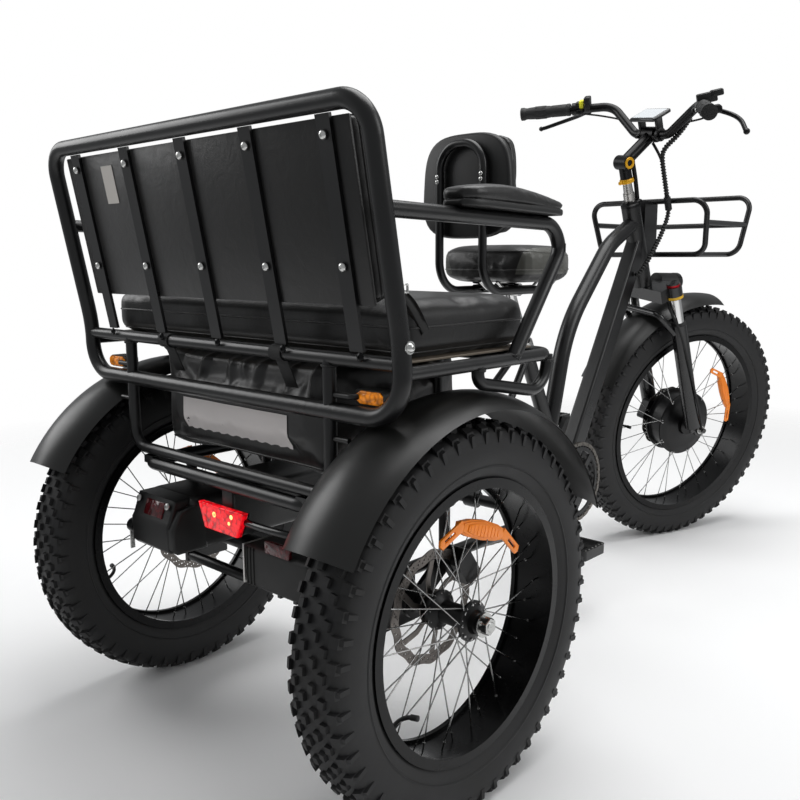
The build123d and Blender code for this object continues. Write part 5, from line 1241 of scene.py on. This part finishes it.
# The drive: a roller chain of stamped steel links, made link by link along the loop round
# the chainring and the axle cog, pressed-steel crank arms and moulded cage pedals with
# orange reflectors, and the black bolts of the crank.
chain_steel = coating("oiled_chain_steel", "#6b6762", 0.36, 0.5, 0.2, metallic=1.0, drift=0.2)
crank_spot, crank_angle, crank_length = (0, 842, 273), -43.3, 0.165
chain_x, chain_pitch, ring_radius, cog_radius = 45, 12.7, 92.6, 44.6
plate_half, plate_waist, plate_thickness, outer_reach, inner_reach = 4.0, 0.7, 0.9, 3.2, 2.3
roller_line = [(-3.4, 0.3), (-3.4, 2.2), (-1.9, 2.2), (-1.9, 3.6), (1.9, 3.6), (1.9, 2.2), (3.4, 2.2),
               (3.4, 0.3)]
crank_cap_line = [(0, 0.4), (0, 11), (3, 10.4), (4.4, 8.2), (4.4, 0.4)]
crank_cap_x, pedal_middle, pedal_pin_count = 0.0685, 0.1185, 6
fall = crank_spot[2] - rear_axle_z
span = sqrt(crank_spot[1] ** 2 + fall ** 2)
chain_slope = atan2(fall, crank_spot[1])
opening = (ring_radius - cog_radius) / span
straight = span * cos(opening)
first, wrap = pi / 2 + opening, (pi + 2 * opening) * ring_radius
whole = 2 * straight + wrap + (pi - 2 * opening) * cog_radius
link_count = 2 * round(whole / (2 * chain_pitch))
pitch = whole / link_count


def chain_place(along):
    """The place and turn of the chain at a length along its loop from the cog's top, in millimetres."""
    if along < straight:
        turn, left, middle, radius = first, along, 0, cog_radius
    elif along < straight + wrap:
        turn, left, middle, radius = first - (along - straight) / ring_radius, 0, span, ring_radius
    elif along < 2 * straight + wrap:
        turn, left, middle, radius = -first, along - straight - wrap, span, ring_radius
    else:
        turn, left, middle, radius = -first - (along - 2 * straight - wrap) / cog_radius, 0, 0, cog_radius
    spot = Vector((middle + radius * cos(turn) + left * sin(turn), radius * sin(turn) - left * cos(turn)))
    return spot, turn


plate_line = [(pitch / 2 * side + plate_half * cos(a), plate_half * sin(a))
              for side, start in ((1, -90), (-1, 90))
              for a in [radians(start + 45 * i) for i in range(5)]]
plate_line = [(y, z * (plate_waist if abs(y) < 3 else 1)) for y, z in plate_line]
link_plate = cut_plate([plate_line], plate_thickness)
roller = moved(turned(roller_line, 10, closed=False), Matrix.Translation((0, pitch / 2000, 0)))
links = []
for index in range(link_count):
    reach_out = (inner_reach if index % 2 else outer_reach) / 1000
    spot, turn = chain_place(pitch * index)
    place = (placed(chain_x, 0, rear_axle_z, Matrix.Rotation(chain_slope, 4, "X"))
             @ Matrix.Translation((0, spot.x / 1000, spot.y / 1000)) @ Matrix.Rotation(turn - pi / 2, 4, "X"))
    links += [moved(link_plate.copy(), place @ Matrix.Translation((side * reach_out, 0, 0)))
              for side in (-1, 1)]
    links.append(moved(roller.copy(), place))
settle("roller_chain", links, chain_steel, "frame", "chain_steel", "chain")

caps = [moved(turned(crank_cap_line, 24, closed=False), Matrix.Translation((crank_cap_x, 0, 0)),
              placed(*crank_spot, about("X", crank_angle)) @ Matrix.Diagonal((side, 1, 1,
                                                                              1))) for side in (-1, 1)]
settle("crank_bolts", caps, black_screw, "crank", "rotor_steel", sharp=35)
for name, side, turn in (("right", 1, 180), ("left", -1, 0)):
    arm_end = placed(*crank_spot, about("X", crank_angle + turn)) @ Matrix.Translation((0, 0, crank_length))
    middle = Matrix.Translation(arm_end.translation + Vector((side * pedal_middle, 0, 0)))
    plates = [slab((52, 4, 15), 1.5, place=middle @ Matrix.Translation((0, y, 0))) for y in (-0.0465, 0.0465)]
    settle(f"pedal_reflectors_{name}", plates, lens_orange, f"pedal_{name}", "lens_orange", sharp=35)
    pins = [slab((3, 3, 3), 0.8, place=middle @ Matrix.Translation((0.0405, -0.035 + 0.014 * i,
                                                                    face * 0.0115)))
            for i in range(pedal_pin_count) for face in (-1, 1)]
    settle(f"pedal_pins_{name}", pins, nut_steel, f"pedal_{name}", "plastic_black")
